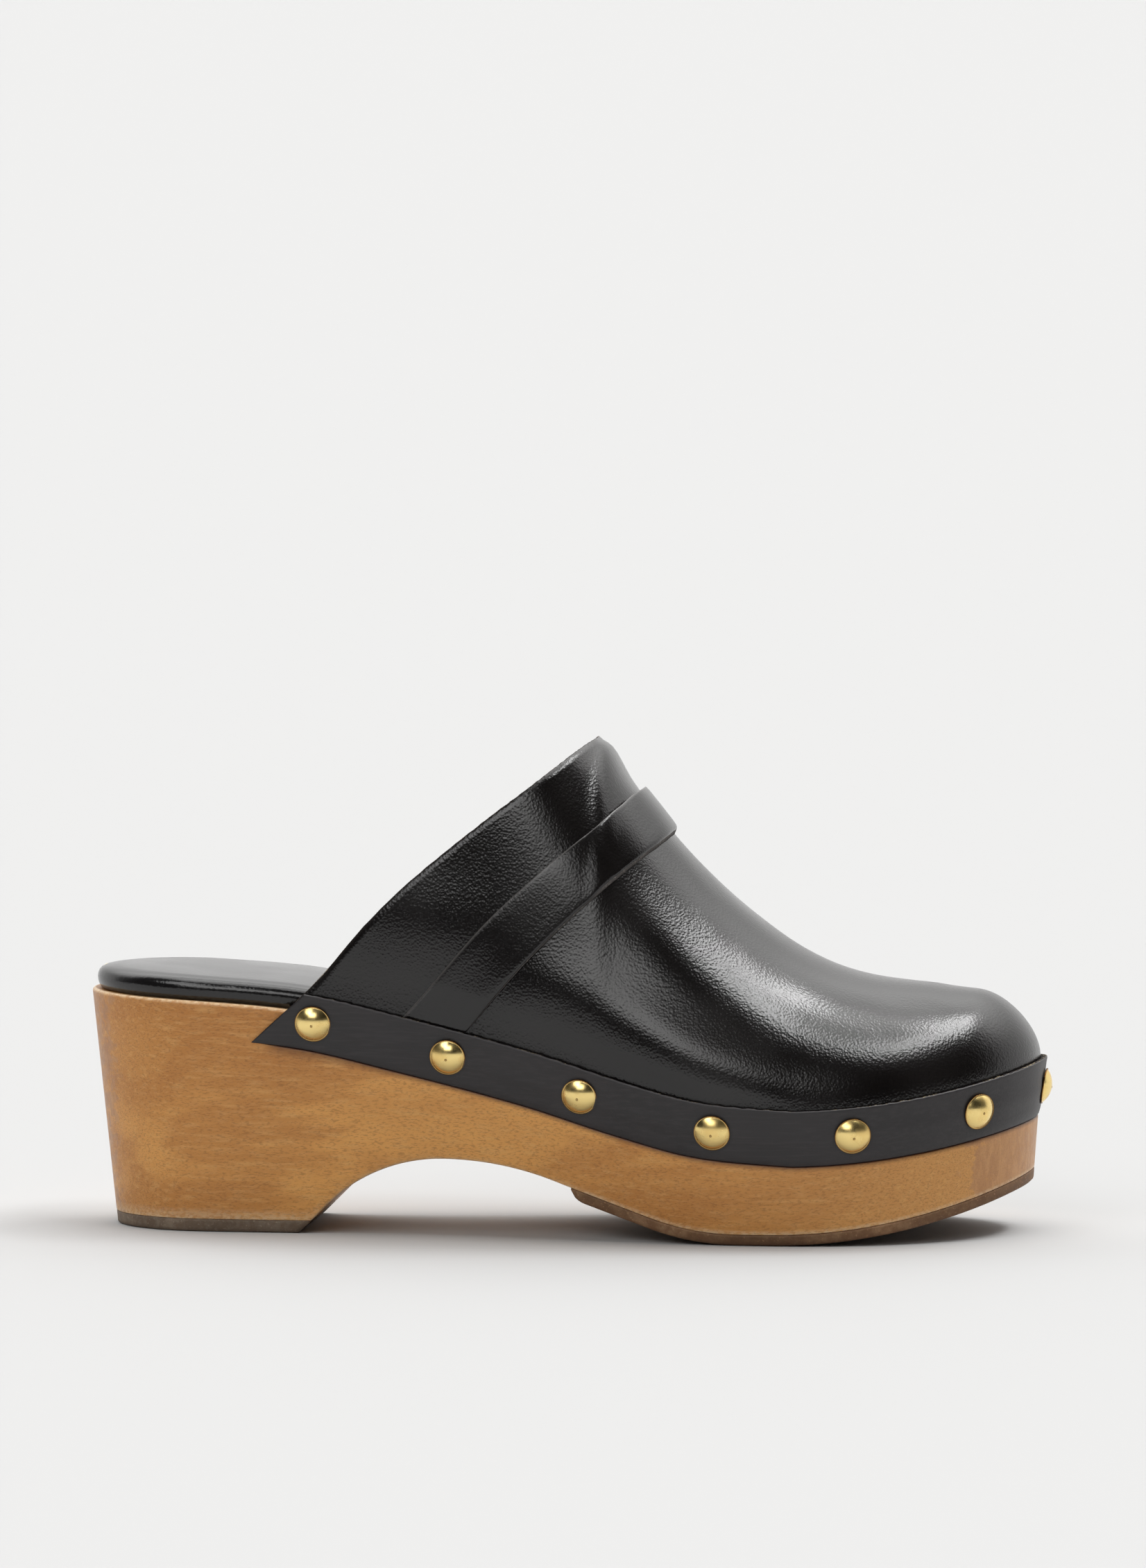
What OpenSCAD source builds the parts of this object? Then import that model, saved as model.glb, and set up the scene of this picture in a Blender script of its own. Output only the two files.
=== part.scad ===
// Heeled clog for the right foot: a carved wooden sole with a leather upper nailed round its edge.
// X runs from heel to toe, Y from the outer side of the foot (negative) to the inner side, Z up.
// The origin is on the ground, under the middle of the shoe. Millimetres.

/* [Wooden sole] */
// Length of the wood along its top edge
sole_length = 251; // [238:1:264]
// Width of the wood across the ball of the foot
ball_width = 91; // [84:1:97]
// Width of the wood across the heel
heel_width = 61; // [55:1:66]
// Height of the wood's back edge above the ground
heel_height = 62.5; // [57:0.5:68]
// Height of the wood's top edge at the ball of the foot
platform_height = 31; // [28:0.5:34]
// Height of the arch under the waist
arch_height = 20.6; // [18:0.1:22]
// Depth of the rebate that lets the leather into the wood
rebate_depth = 1.6; // [1.4:0.1:2]

/* [Rubber] */
// Thickness of the heel top piece
heel_rubber_t = 3.3; // [2.5:0.1:4]
// Thickness of the forefoot outsole
sole_rubber_t = 2.9; // [2.4:0.1:3.6]

/* [Leather upper] */
// Height of the throat, where the vamp ends on the instep
throat_height = 129.6; // [124:0.2:134]
// Thickness of the vamp leather
vamp_t = 1.2; // [1:0.1:1.4]
// Thickness of the lining leather
lining_t = 0.8; // [0.6:0.1:1]
// Thickness of the instep band
band_t = 1.3; // [1:0.1:1.6]
// Width of the rand strip that is nailed over the edge of the vamp
rand_width = 14.8; // [13:0.2:16]
// Thickness of the rand strip
rand_t = 1.3; // [1.1:0.1:1.6]

/* [Studs] */
// Diameter of a domed stud head
stud_d = 9.5; // [8:0.1:11]
// Height of the dome above the rand
stud_rise = 2.2; // [1.6:0.1:2.8]
// Studs on each side, besides the one at the tip of the toe
studs_per_side = 6; // [4:1:8]

/* [Footbed] */
// Thickness of the padded footbed
footbed_t = 6.8; // [5.6:0.1:7.4]
// Thickness of its leather cover
cover_t = 0.9; // [0.7:0.1:1.2]

/* [Hidden] */

outer = -1;                                // side of the little toe
inner = 1;                                 // side of the big toe
rand_lift = 1.15;                          // how far the rand stands out over the vamp's edge
heel_back = -(sole_length + rand_lift + stud_rise) / 2;
toe_tip = heel_back + sole_length;
fit_gap = 0.05;                            // gap between layers that lie on each other
eps = 0.01;
$fn = 32;

// ---- Curves along the shoe. Stations are in percent of the sole's length, from the heel.

function percent(x) = 100 * (x - heel_back) / sole_length;
function station_x(p) = heel_back + sole_length * p / 100;

// Smooth curve through [station, value] points
function knot(pts, s, i = 0) = i >= len(pts) - 2 || s < pts[i + 1][0] ? i : knot(pts, s, i + 1);
function tangent(pts, i) =
    let (a = max(i - 1, 0), b = min(i + 1, len(pts) - 1))
    (pts[b][1] - pts[a][1]) / (pts[b][0] - pts[a][0]);
function curve(pts, x) =
    let (
        s = min(max(percent(x), pts[0][0]), pts[len(pts) - 1][0]),
        i = knot(pts, s),
        w = pts[i + 1][0] - pts[i][0],
        t = (s - pts[i][0]) / w,
        t2 = t * t,
        t3 = t2 * t
    )
    (2 * t3 - 3 * t2 + 1) * pts[i][1] + (3 * t2 - 2 * t3) * pts[i + 1][1]
    + w * ((t3 - 2 * t2 + t) * tangent(pts, i) + (t3 - t2) * tangent(pts, i + 1));
function ramp(a, b, x) = let (t = min(max((x - a) / (b - a), 0), 1)) t * t * (3 - 2 * t);

// ---- Plan of the sole

half_heel = heel_width / 2;
half_ball = ball_width / 2;
// The line down the middle bends towards the big toe
middle_line = [[0, -1], [25, -1], [50, -0.5], [70, 0], [85, 3], [100, 7.5]];
outer_half = [
    [0, half_heel - 1], [14, half_heel], [28, half_heel + 1.5], [42, half_ball * 0.77],
    [54, half_ball * 0.88], [67, half_ball], [80, half_ball * 1.01], [100, half_ball * 0.93]
];
inner_half = [
    [0, half_heel - 1], [14, half_heel], [28, half_heel], [42, half_ball * 0.72],
    [54, half_ball * 0.82], [66, half_ball * 0.96], [75, half_ball], [87, half_ball * 0.93],
    [100, half_ball * 0.8]
];
heel_round_x = station_x(13);              // the heel is round behind this station
toe_round_x = station_x(76);               // the toe is round in front of this one

toe_squareness = 2.25;                     // 2 is an ellipse, more is squarer

function middle_y(x) = curve(middle_line, x);
function end_round(x) =
    x < heel_round_x ? sqrt(max(0, 1 - pow((heel_round_x - x) / (heel_round_x - heel_back), 2)))
    : x > toe_round_x ?
        pow(max(0, 1 - pow((x - toe_round_x) / (toe_tip - toe_round_x), toe_squareness)), 1 / toe_squareness)
    : 1;
function edge_y(side, x) =
    middle_y(x) + side * curve(side == outer ? outer_half : inner_half, x) * end_round(x);

// Points along the edge are counted by t, 0 at the heel and 1 at the toe, closer near the ends
function x_at(t) = heel_back + sole_length * (1 - cos(180 * t)) / 2;
function t_at(x) = acos(min(max(1 - 2 * (x - heel_back) / sole_length, -1), 1)) / 180;
function edge_point(side, t) = [x_at(t), edge_y(side, x_at(t))];
function edge_normal(side, t) =
    let (
        step = 0.002,
        d = edge_point(side, min(t + step, 1)) - edge_point(side, max(t - step, 0)),
        n = [-side * d[1], side * d[0]]
    )
    n / norm(n);

// ---- Heights along the sole

heel_to_ball = [[0, 1], [14, 0.96], [24, 0.89], [34, 0.72], [48, 0.45], [58, 0.22], [66, 0.07], [76, 0]];
toe_lift = 9.5;                            // rise of the top edge from the ball to the toe
function wood_top(x) =
    platform_height + (heel_height - platform_height) * curve(heel_to_ball, x)
    + toe_lift * pow(max(0, (percent(x) - 74) / 26), 2);
function top_slope(x) = (wood_top(x + 1) - wood_top(x - 1)) / 2;
wall_lean_points = [[0, 6], [25, 7], [50, 10], [68, 11], [85, 8], [100, 4]];

// A point on the side wall at height z, d outside the wood. The wall leans out as it rises.
function wall(side, t, z, d = 0) =
    let (
        x = x_at(t),
        out = d + (z - wood_top(x)) * tan(curve(wall_lean_points, x)),
        n = edge_normal(side, t)
    )
    [x + n[0] * out, edge_y(side, x) + n[1] * out, z];

// ---- Underside of the wood, seen from the side: breast of the heel, arch, ramp, tread, toe

breast_angle = 45;
ramp_angle = 19;
arch_heel_r = 45;
arch_ramp_r = 88;
tread_r = 70;
arch_x = station_x(38.8);                  // the highest point of the arch
ramp_top_x = arch_x + arch_ramp_r * sin(ramp_angle);
ramp_top_z = arch_height - arch_ramp_r * (1 - cos(ramp_angle));
ramp_foot_z = sole_rubber_t + tread_r * (1 - cos(ramp_angle));
ramp_foot_x = ramp_top_x + (ramp_top_z - ramp_foot_z) / tan(ramp_angle);
tread_x = ramp_foot_x + tread_r * sin(ramp_angle);
rocker_x = tread_x + 8;                    // the toe starts to rise here
toe_spring = 13.5;                         // height of the rubber's front edge
rocker_r = pow(toe_tip - rocker_x, 2) / (2 * toe_spring);
breast_foot_x = arch_x - arch_heel_r * sin(breast_angle)
    - (arch_height - arch_heel_r * (1 - cos(breast_angle))) / tan(breast_angle);

function arc(cx, cz, r, from, to, n) =
    [for (i = [0 : n]) let (a = from + (to - from) * i / n) [cx + r * sin(a), cz + r * cos(a)]];
function reversed(list) = [for (i = [len(list) - 1 : -1 : 0]) list[i]];
// The underside from the top of the ramp to past the toe, moved down by drop along its normal
function tread_line(drop) = concat(
    arc(tread_x, sole_rubber_t + tread_r, tread_r + drop, 180 + ramp_angle, 180, 5),
    arc(rocker_x, sole_rubber_t + rocker_r, rocker_r + drop, 180, 154, 12)
);
function arch_line() = concat(
    arc(arch_x, arch_height - arch_heel_r, arch_heel_r, -breast_angle, 0, 10),
    arc(arch_x, arch_height - arch_ramp_r, arch_ramp_r, 3, ramp_angle, 5)
);
function top_line() = [for (p = [104 : -4 : -4]) [station_x(p), wood_top(station_x(p))]];

module side_cut(points) {
    rotate([90, 0, 0])
        linear_extrude(height = 1.5 * ball_width, center = true)
            polygon(points);
}

// The block that the side cuts are taken from: the plan of the sole between leaning walls
module wall_block() {
    steps = 44;
    low = -1;
    high = heel_height + 6;
    ring = concat(
        [for (i = [0 : steps]) [outer, i / steps]],
        [for (i = [steps - 1 : -1 : 1]) [inner, i / steps]]
    );
    n = len(ring);
    polyhedron(
        concat([for (s = ring) wall(s[0], s[1], low)], [for (s = ring) wall(s[0], s[1], high)]),
        concat(
            [[for (i = [0 : n - 1]) i]],
            [[for (i = [n - 1 : -1 : 0]) n + i]],
            [for (i = [0 : n - 1]) let (j = (i + 1) % n) [i, n + i, n + j, j]]
        )
    );
}

// ---- Rand, upper and their nails: shared lines

rand_drop = 2.5;                           // the rand's middle line lies this far below the wood's edge
rand_tail_x = station_x(21.3);             // middle of the slanted tail
tail_slant = 1.0;                          // how far the tail leans, per millimetre of rand width
feather_depth = 0.8;                       // the vamp's side starts this far below the rand's top
feather_inset = 0.4;                       // and this far inside the wood's edge
// Fullness of the arch over the foot: 1 is a plain arch, less stands more upright at the sides
instep_fullness = 0.55;
toe_fullness = 0.9;
function side_fullness(x) =
    instep_fullness + (toe_fullness - instep_fullness) * ramp(station_x(46), station_x(60), x);
tuck_slant = 0.9;                          // how far the tucked edge runs back, per millimetre down

function stretch(x) = sqrt(1 + pow(top_slope(x), 2));
function rand_z(x, v) = wood_top(x) - rand_drop + v * stretch(x);
function rand_point(side, t, v, d) =
    let (
        fade = 1 - ramp(rand_tail_x, station_x(45), x_at(t)),
        t2 = t_at(x_at(t) + tail_slant * v * fade)
    )
    wall(side, t2, rand_z(x_at(t2), v), d);
function feather_z(x) = rand_z(x, rand_width / 2 - feather_depth);

// Stations round the toe, from the tail on the outer side to the tail on the inner side
function round_toe(t0, steps) = concat(
    [for (i = [0 : steps]) [outer, t0 + (1 - t0) * i / steps]],
    [for (i = [steps - 1 : -1 : 0]) [inner, t0 + (1 - t0) * i / steps]]
);

// The ridge of the vamp. Behind the throat it is only a guide for the fullness of the sides.
ridge_points = [
    [22, throat_height + 75], [40, throat_height + 35], [53.5, throat_height],
    [55, throat_height - 2.8], [57, 118.3], [61.7, 103.4], [66, 92], [70, 83.2], [74.5, 75],
    [79, 69.5], [84, 66.4], [90, 64.6], [96, 62.6], [100, 60.5]
];
toe_cap_x = station_x(93.4);               // the ridge rounds down to the feather in front of this
function ridge_slope(x) = (curve(ridge_points, x + 1) - curve(ridge_points, x - 1)) / 2;
function toe_cap(x) =
    x < toe_cap_x ? 1 : sqrt(max(0, 1 - pow((x - toe_cap_x) / (toe_tip - toe_cap_x), 2)));

// A point of the upper over station x, phi degrees round from the outer feather (0) over the
// ridge (90) to the inner feather (180), d outside the vamp's outer face
function upper_point(x, phi, d = 0) =
    let (
        side = phi < 90 ? outer : inner,
        foot = wall(side, t_at(x), feather_z(x), d - feather_inset),
        c = abs(cos(phi)),
        rise = (curve(ridge_points, x) + d * sqrt(1 + pow(ridge_slope(x), 2)) - feather_z(x)) * toe_cap(x)
    )
    x > toe_tip - eps ? foot
    : [
        x + (foot[0] - x) * c,
        middle_y(x) + (foot[1] - middle_y(x)) * pow(c, side_fullness(x)),
        feather_z(x) + rise * sin(phi)
    ];

// Cut lines on the upper, as [station, height] seen from the side
throat_line = [[15, 46], [24.3, 64], [31, 82.5], [38.5, 100], [53.5, throat_height]];
band_back_line = [[30, 46.5], [35, 59], [45.5, 87.5], [58.6, 115.6]];
band_front_line = [[38, 43], [41.6, 55], [52, 83.5], [61.6, 104]];

// Station where the upper crosses a cut line, found by halving
function crossing(line, phi, d, a, b, n = 12) =
    let (m = (a + b) / 2)
    n == 0 ? m
    : upper_point(m, phi, d)[2] > curve(line, m) ? crossing(line, phi, d, m, b, n - 1)
    : crossing(line, phi, d, a, m, n - 1);
function cross_x(line, phi, d) =
    let (last = line[len(line) - 1])
    crossing(line, phi, d, station_x(line[0][0]), station_x(last[0]));

// ---- Solids from grids

// Closed solid between two grids of points with the same rows and columns
module grid_solid(top, bottom) {
    rows = len(top);
    cols = len(top[0]);
    n = rows * cols;
    function at(i, j) = i * cols + j;
    polyhedron(
        concat([for (r = top) each r], [for (r = bottom) each r]),
        concat(
            [for (i = [0 : rows - 2], j = [0 : cols - 2]) each [
                [at(i, j), at(i, j + 1), at(i + 1, j + 1)],
                [at(i, j), at(i + 1, j + 1), at(i + 1, j)],
                [n + at(i, j), n + at(i + 1, j + 1), n + at(i, j + 1)],
                [n + at(i, j), n + at(i + 1, j), n + at(i + 1, j + 1)]
            ]],
            [for (i = [0 : rows - 2]) each [
                [at(i, 0), at(i + 1, 0), n + at(i + 1, 0)],
                [at(i, 0), n + at(i + 1, 0), n + at(i, 0)],
                [at(i, cols - 1), n + at(i + 1, cols - 1), at(i + 1, cols - 1)],
                [at(i, cols - 1), n + at(i, cols - 1), n + at(i + 1, cols - 1)]
            ]],
            [for (j = [0 : cols - 2]) each [
                [at(0, j), n + at(0, j + 1), at(0, j + 1)],
                [at(0, j), n + at(0, j), n + at(0, j + 1)],
                [at(rows - 1, j), at(rows - 1, j + 1), n + at(rows - 1, j + 1)],
                [at(rows - 1, j), n + at(rows - 1, j + 1), n + at(rows - 1, j)]
            ]]
        )
    );
}

// Closed solid swept through a list of closed sections with the same number of points
module sweep_solid(sections) {
    n = len(sections);
    m = len(sections[0]);
    polyhedron(
        [for (s = sections) each s],
        concat(
            [[for (j = [m - 1 : -1 : 0]) j]],
            [[for (j = [0 : m - 1]) (n - 1) * m + j]],
            [for (i = [0 : n - 2], j = [0 : m - 1]) let (k = (j + 1) % m) each [
                [i * m + j, i * m + k, (i + 1) * m + k],
                [i * m + j, (i + 1) * m + k, (i + 1) * m + j]
            ]]
        )
    );
}

// One sheet of the upper: rows from the line `from` to the toe, columns over the ridge
upper_cols = 26;
function throat_stations(cols, d) = [for (j = [0 : cols]) cross_x(throat_line, 180 * j / cols, d)];
function sheet_row(share, starts, d, tuck) =
    let (
        x = starts[0] + (toe_tip - starts[0]) * sin(90 * share),
        back = tuck_slant * tuck * (1 - share),
        low = [for (side = [outer, inner])
            wall(side, t_at(x - back), feather_z(x - back) - tuck, d - feather_inset)]
    )
    concat(
        [low[0]],
        [for (j = [0 : upper_cols])
            upper_point(starts[j] + (toe_tip - starts[j]) * sin(90 * share), 180 * j / upper_cols, d)],
        [low[1]]
    );
function sheet_grid(rows, d, tuck) =
    let (starts = throat_stations(upper_cols, d))
    [for (i = [0 : rows]) sheet_row(i / rows, starts, d, tuck)];
module upper_sheet(rows, d, thickness, tuck) {
    grid_solid(sheet_grid(rows, d, tuck), sheet_grid(rows, d - thickness, tuck));
}

// ---- Nails

// Puts a nail's local Z along the wall's outward normal at (side, t), on the face at v, d
module on_wall(side, t, v, d) {
    n = edge_normal(side, t);
    lean = curve(wall_lean_points, x_at(t)) + 5;
    translate(rand_point(side, t, v, d))
        rotate([0, 90 + lean, atan2(n[1], n[0])])
            children();
}

first_stud_t = t_at(station_x(25.2));
// Distances along the rand to the toe, so that the studs sit at an even pitch
function rand_run(side, steps = 60) =
    let (
        ts = [for (i = [0 : steps]) first_stud_t + (1 - first_stud_t) * i / steps],
        pts = [for (t = ts) rand_point(side, t, 0, rand_lift)]
    )
    [for (
        i = 0, run = 0;
        i <= steps;
        i = i + 1, run = run + (i <= steps ? norm(pts[i] - pts[i - 1]) : 0)
    ) [run, ts[i]]];
runs = [rand_run(outer), rand_run(inner)];
function pitch_t(side, share) =
    let (table = runs[side == outer ? 0 : 1])
    lookup(share * table[len(table) - 1][0], table);

module at_studs() {
    for (k = [0 : studs_per_side - 1], side = [outer, inner])
        on_wall(side, pitch_t(side, k / studs_per_side), 0, rand_lift)
            children();
    on_wall(outer, 1, 0, rand_lift)
        children();
}
// The lasting tacks hold the vamp's edge, two between each pair of studs
lasting_v = -1.5;                          // measured from the rand's middle line
lasting_head_t = 0.35;
module at_lasting_tacks() {
    for (k = [0 : studs_per_side - 1], third = [1, 2], side = [outer, inner])
        on_wall(side, pitch_t(side, (k + third / 3) / studs_per_side), lasting_v, -lasting_head_t)
            children();
}

hole_sides = 12;                           // nails bite into plain drilled pilot holes
hole_gap = 0.15;                           // by this much wider than the nail, in radius
stud_shank_r = 0.9;
stud_shank_l = 13;
lasting_tack_r = 0.6;
lasting_head_r = 1.4;
lasting_tack_l = 9;
module stud_holes() {
    at_studs()
        translate([0, 0, -stud_shank_l - 1])
            cylinder(r = stud_shank_r + hole_gap, h = stud_shank_l + 3, $fn = hole_sides);
}

// Nails under the heel and the forefoot, as [x, y, height of the rubber's underside]
nail_head_r = 1.9;
nail_shank_r = 0.8;
nail_head_t = 0.7;
nail_recess = 0.7;
nail_bore = 8;                             // how far a hole runs on below the nail's head
heel_nail_l = 14;
outsole_tack_l = 9;
// The heel nails stand on an oval that is open towards the breast
heel_nail_count = 7;
heel_ring = [17, heel_width / 4];          // half length and half width of the oval
heel_ring_x = station_x(14.5);
heel_ring_open = 80;                       // degrees left open
heel_nail_xy = [for (i = [0 : heel_nail_count - 1])
    let (a = heel_ring_open / 2 + (360 - heel_ring_open) * i / (heel_nail_count - 1))
    [heel_ring_x + heel_ring[0] * cos(a), middle_y(heel_ring_x) + heel_ring[1] * sin(a)]];
function sagitta(run, r) = r - sqrt(r * r - run * run);
function rubber_low_z(x) =
    x < tread_x ? sagitta(tread_x - x, tread_r + sole_rubber_t)
    : x < rocker_x ? 0
    : sagitta(x - rocker_x, rocker_r + sole_rubber_t);
outsole_tack_reach = 0.68;                 // share of the way from the middle line to the edge
outsole_tack_xy = [for (p = [66 : 5.6 : 94], side = [outer, inner])
    let (x = station_x(p), middle = middle_y(x))
    [x, middle + outsole_tack_reach * (edge_y(side, x) - middle)]];

module nail(length) {
    translate([0, 0, nail_recess])
        cylinder(r = nail_head_r, h = nail_head_t);
    translate([0, 0, nail_recess + nail_head_t - eps])
        cylinder(r = nail_shank_r, h = length);
}
module nail_hole(length) {
    translate([0, 0, -nail_bore])
        cylinder(r = nail_head_r + hole_gap, h = nail_bore + nail_recess + nail_head_t, $fn = hole_sides);
    cylinder(r = nail_shank_r + hole_gap, h = nail_recess + nail_head_t + length, $fn = hole_sides);
}
module at_heel_nails() {
    for (p = heel_nail_xy)
        translate([p[0], p[1], 0])
            children();
}
module at_outsole_tacks() {
    for (p = outsole_tack_xy)
        translate([p[0], p[1], rubber_low_z(p[0])])
            children();
}

// ---- Sub-parts: the sole

// The rebate that the vamp's edge and the rand are let into
module rebate() {
    low = -rand_width / 2 - 0.2;           // a little play under the rand's lower edge
    high = rand_width / 2 + 3;             // clear of the wood's top edge
    reach = 8;                             // clear of the wall
    sweep_solid([for (s = round_toe(t_at(rand_tail_x), 34)) [
        rand_point(s[0], s[1], low, -rebate_depth),
        rand_point(s[0], s[1], low, reach),
        rand_point(s[0], s[1], high, reach),
        rand_point(s[0], s[1], high, -rebate_depth)
    ]]);
}

module wood_sole() {
    color("#b57f45")
        difference() {
            intersection() {
                wall_block();
                side_cut(concat(
                    [[station_x(-4), heel_rubber_t]],
                    [[breast_foot_x + heel_rubber_t / tan(breast_angle), heel_rubber_t]],
                    arch_line(),
                    tread_line(0),
                    top_line()
                ));
            }
            rebate();
            stud_holes();
            at_heel_nails()
                nail_hole(heel_nail_l);
            at_outsole_tacks()
                nail_hole(outsole_tack_l);
        }
}

module heel_top_piece() {
    color("#6f5a45")
        difference() {
            intersection() {
                wall_block();
                side_cut([
                    [station_x(-4), 0],
                    [breast_foot_x, 0],
                    [breast_foot_x + heel_rubber_t / tan(breast_angle), heel_rubber_t],
                    [station_x(-4), heel_rubber_t]
                ]);
            }
            at_heel_nails()
                nail_hole(heel_nail_l);
        }
}

module forefoot_outsole() {
    // The back end is blunt, with its lower corner cut off, part way up the ramp
    tail_x = station_x(52.4);
    tail_z = ramp_top_z - (tail_x - ramp_top_x) * tan(ramp_angle);
    corner_back = [0.6, -1.8];
    corner_front = [3, -3.7];
    color("#7a6148")
        difference() {
            intersection() {
                wall_block();
                side_cut(concat(
                    [for (p = [[0, 0], corner_back, corner_front]) [tail_x, tail_z] + p],
                    tread_line(sole_rubber_t),
                    reversed(tread_line(0))
                ));
            }
            at_outsole_tacks()
                nail_hole(outsole_tack_l);
        }
}

module heel_nails() {
    color("#9a9a98")
        at_heel_nails()
            nail(heel_nail_l);
}

module outsole_tacks() {
    color("#9a9a98")
        at_outsole_tacks()
            nail(outsole_tack_l);
}

// ---- Sub-parts: the footbed

upper_stack_t = vamp_t + lining_t + 1.6;   // leather layers between the wood's edge and the foot
heel_margin = 1.8;                         // bare wood left round the heel
footbed_crown = 1;                         // the middle of the footbed is this much thicker
footbed_rows = 34;
footbed_cols = 8;
// One row of points across the footbed, h over the wood, set in from the footbed's edge
function footbed_row(t, h, inset, crown) =
    let (
        x = x_at(t),
        margin = heel_margin + upper_stack_t * ramp(station_x(20), station_x(34), x) + inset,
        a = wall(outer, t, wood_top(x), -margin),
        b = wall(inner, t, wood_top(x), -margin)
    )
    [for (j = [0 : footbed_cols])
        let (p = a + (b - a) * j / footbed_cols, side = abs(2 * j / footbed_cols - 1))
        [p[0], p[1], wood_top(p[0]) + h + crown * (1 - pow(side, 4))]];

// One layer of the footbed, between two heights over the wood
module footbed_layer(low, high, inset, crown = 0) {
    end = 0.03;                            // each end is cut off this far along the edge
    function row_t(i) = end + (1 - 2 * end) * i / footbed_rows;
    grid_solid(
        [for (i = [0 : footbed_rows]) footbed_row(row_t(i), high, inset, crown)],
        [for (i = [0 : footbed_rows]) footbed_row(row_t(i), low, inset, 0)]
    );
}

board_t = 1.0;
module insole_board() {
    color("#a08a6a")
        footbed_layer(fit_gap, board_t, cover_t + fit_gap);
}

module footbed_foam() {
    color("#d8cfa8")
        footbed_layer(
            board_t + fit_gap,
            footbed_t - footbed_crown - cover_t,
            cover_t + fit_gap,
            footbed_crown
        );
}

// The cover wraps the top and the edge of the foam, down to the wood
module footbed_cover() {
    end_cut = 0.012;
    function row(i, skin) =
        let (
            end = end_cut * (1 + skin),
            side_h = footbed_t - footbed_crown - skin,
            across = footbed_row(end + (1 - 2 * end) * i / footbed_rows, side_h, skin, footbed_crown),
            down = [0, 0, side_h - fit_gap]
        )
        concat([across[0] - down], across, [across[footbed_cols] - down]);
    color("#232122")
        grid_solid(
            [for (i = [0 : footbed_rows]) row(i, 0)],
            [for (i = [0 : footbed_rows]) row(i, cover_t)]
        );
}

// ---- Sub-parts: the upper

vamp_tuck = 10.5;                          // how far the vamp's edge runs down under the rand
module vamp() {
    color("#1d1b1c")
        upper_sheet(30, 0, vamp_t, vamp_tuck);
}

puff_t = 0.8;
puff_x = station_x(80);                    // the puff stiffens the toe in front of this
tape_t = 0.2;
tape_width = 6;
lining_d = vamp_t + tape_t + fit_gap;      // the lining's outer face, below the vamp's
module toe_puff() {
    rows = 9;
    cols = 18;
    foot = 6;                              // degrees left free above each feather
    function row(i, d) =
        let (x = puff_x + (toe_tip - puff_x) * sin(90 * i / rows))
        [for (j = [0 : cols]) upper_point(x, foot + (180 - 2 * foot) * j / cols, d)];
    color("#cfc6b0")
        grid_solid(
            [for (i = [0 : rows]) row(i, -vamp_t - fit_gap)],
            [for (i = [0 : rows]) row(i, -vamp_t - fit_gap - puff_t)]
        );
}

// Strip along a cut line of the upper, `wide` millimetres of station towards the toe
module line_strip(line, wide, d, thickness) {
    cols = 28;
    starts = [for (j = [0 : cols]) cross_x(line, 180 * j / cols, d)];
    function row(share, d) =
        [for (j = [0 : cols]) upper_point(starts[j] + eps + share * wide, 180 * j / cols, d)];
    grid_solid([for (i = [0 : 1]) row(i, d)], [for (i = [0 : 1]) row(i, d - thickness)]);
}

module topline_tape() {
    color("#e8e4da")
        line_strip(throat_line, tape_width, -vamp_t - fit_gap / 2, tape_t);
}

module upper_lining() {
    rows = 24;
    cols = 22;
    // The lining sinks by most of the puff's thickness to make room for it
    function depth(x) = lining_d + (puff_t - tape_t + 2 * fit_gap) * ramp(puff_x - 12, puff_x - 1, x);
    starts = throat_stations(cols, -lining_d);
    function row(share, extra) =
        [for (j = [0 : cols])
            let (x = starts[j] + (toe_tip - starts[j]) * sin(90 * share))
            upper_point(x, 180 * j / cols, -depth(x) - extra)];
    color("#8c6a4a")
        grid_solid(
            [for (i = [0 : rows]) row(i / rows, 0)],
            [for (i = [0 : rows]) row(i / rows, lining_t)]
        );
}

module instep_band() {
    rows = 5;
    cols = 32;
    backs = [for (j = [0 : cols]) cross_x(band_back_line, 180 * j / cols, fit_gap)];
    fronts = [for (j = [0 : cols]) cross_x(band_front_line, 180 * j / cols, fit_gap)];
    pared = 0.25;                          // the ends are pared down to this share under the rand
    function row(share, lift) =
        [for (j = [0 : cols])
            let (phi = 180 * j / cols, ends = min(1, pared + 6 * sin(phi)))
            upper_point(backs[j] + (fronts[j] - backs[j]) * share, phi, fit_gap + lift * ends)];
    color("#262324")
        grid_solid(
            [for (i = [0 : rows]) row(i / rows, band_t)],
            [for (i = [0 : rows]) row(i / rows, 0)]
        );
}

// ---- Sub-parts: rand and nails

// The rand bears on the wood along its lower edge and on the vamp's edge above that
rand_top_flare = 0.15;                     // the top edge stands a little off the vamp
rand_section = [
    [-0.5, -rebate_depth + fit_gap], [-0.5, 0], [-0.2, rand_lift - 0.2], [0, rand_lift],
    [0.45, rand_lift + rand_top_flare], [0.5, rand_lift], [0.5, rand_lift + fit_gap - rand_t],
    [-0.2, 0], [-0.24, -rebate_depth + fit_gap]
];
module rand_strip() {
    color("#2f2c2e")
        difference() {
            sweep_solid([for (s = round_toe(t_at(rand_tail_x + 0.3), 40))
                [for (p = rand_section) rand_point(s[0], s[1], p[0] * rand_width, p[1])]]);
            stud_holes();
        }
}

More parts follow.
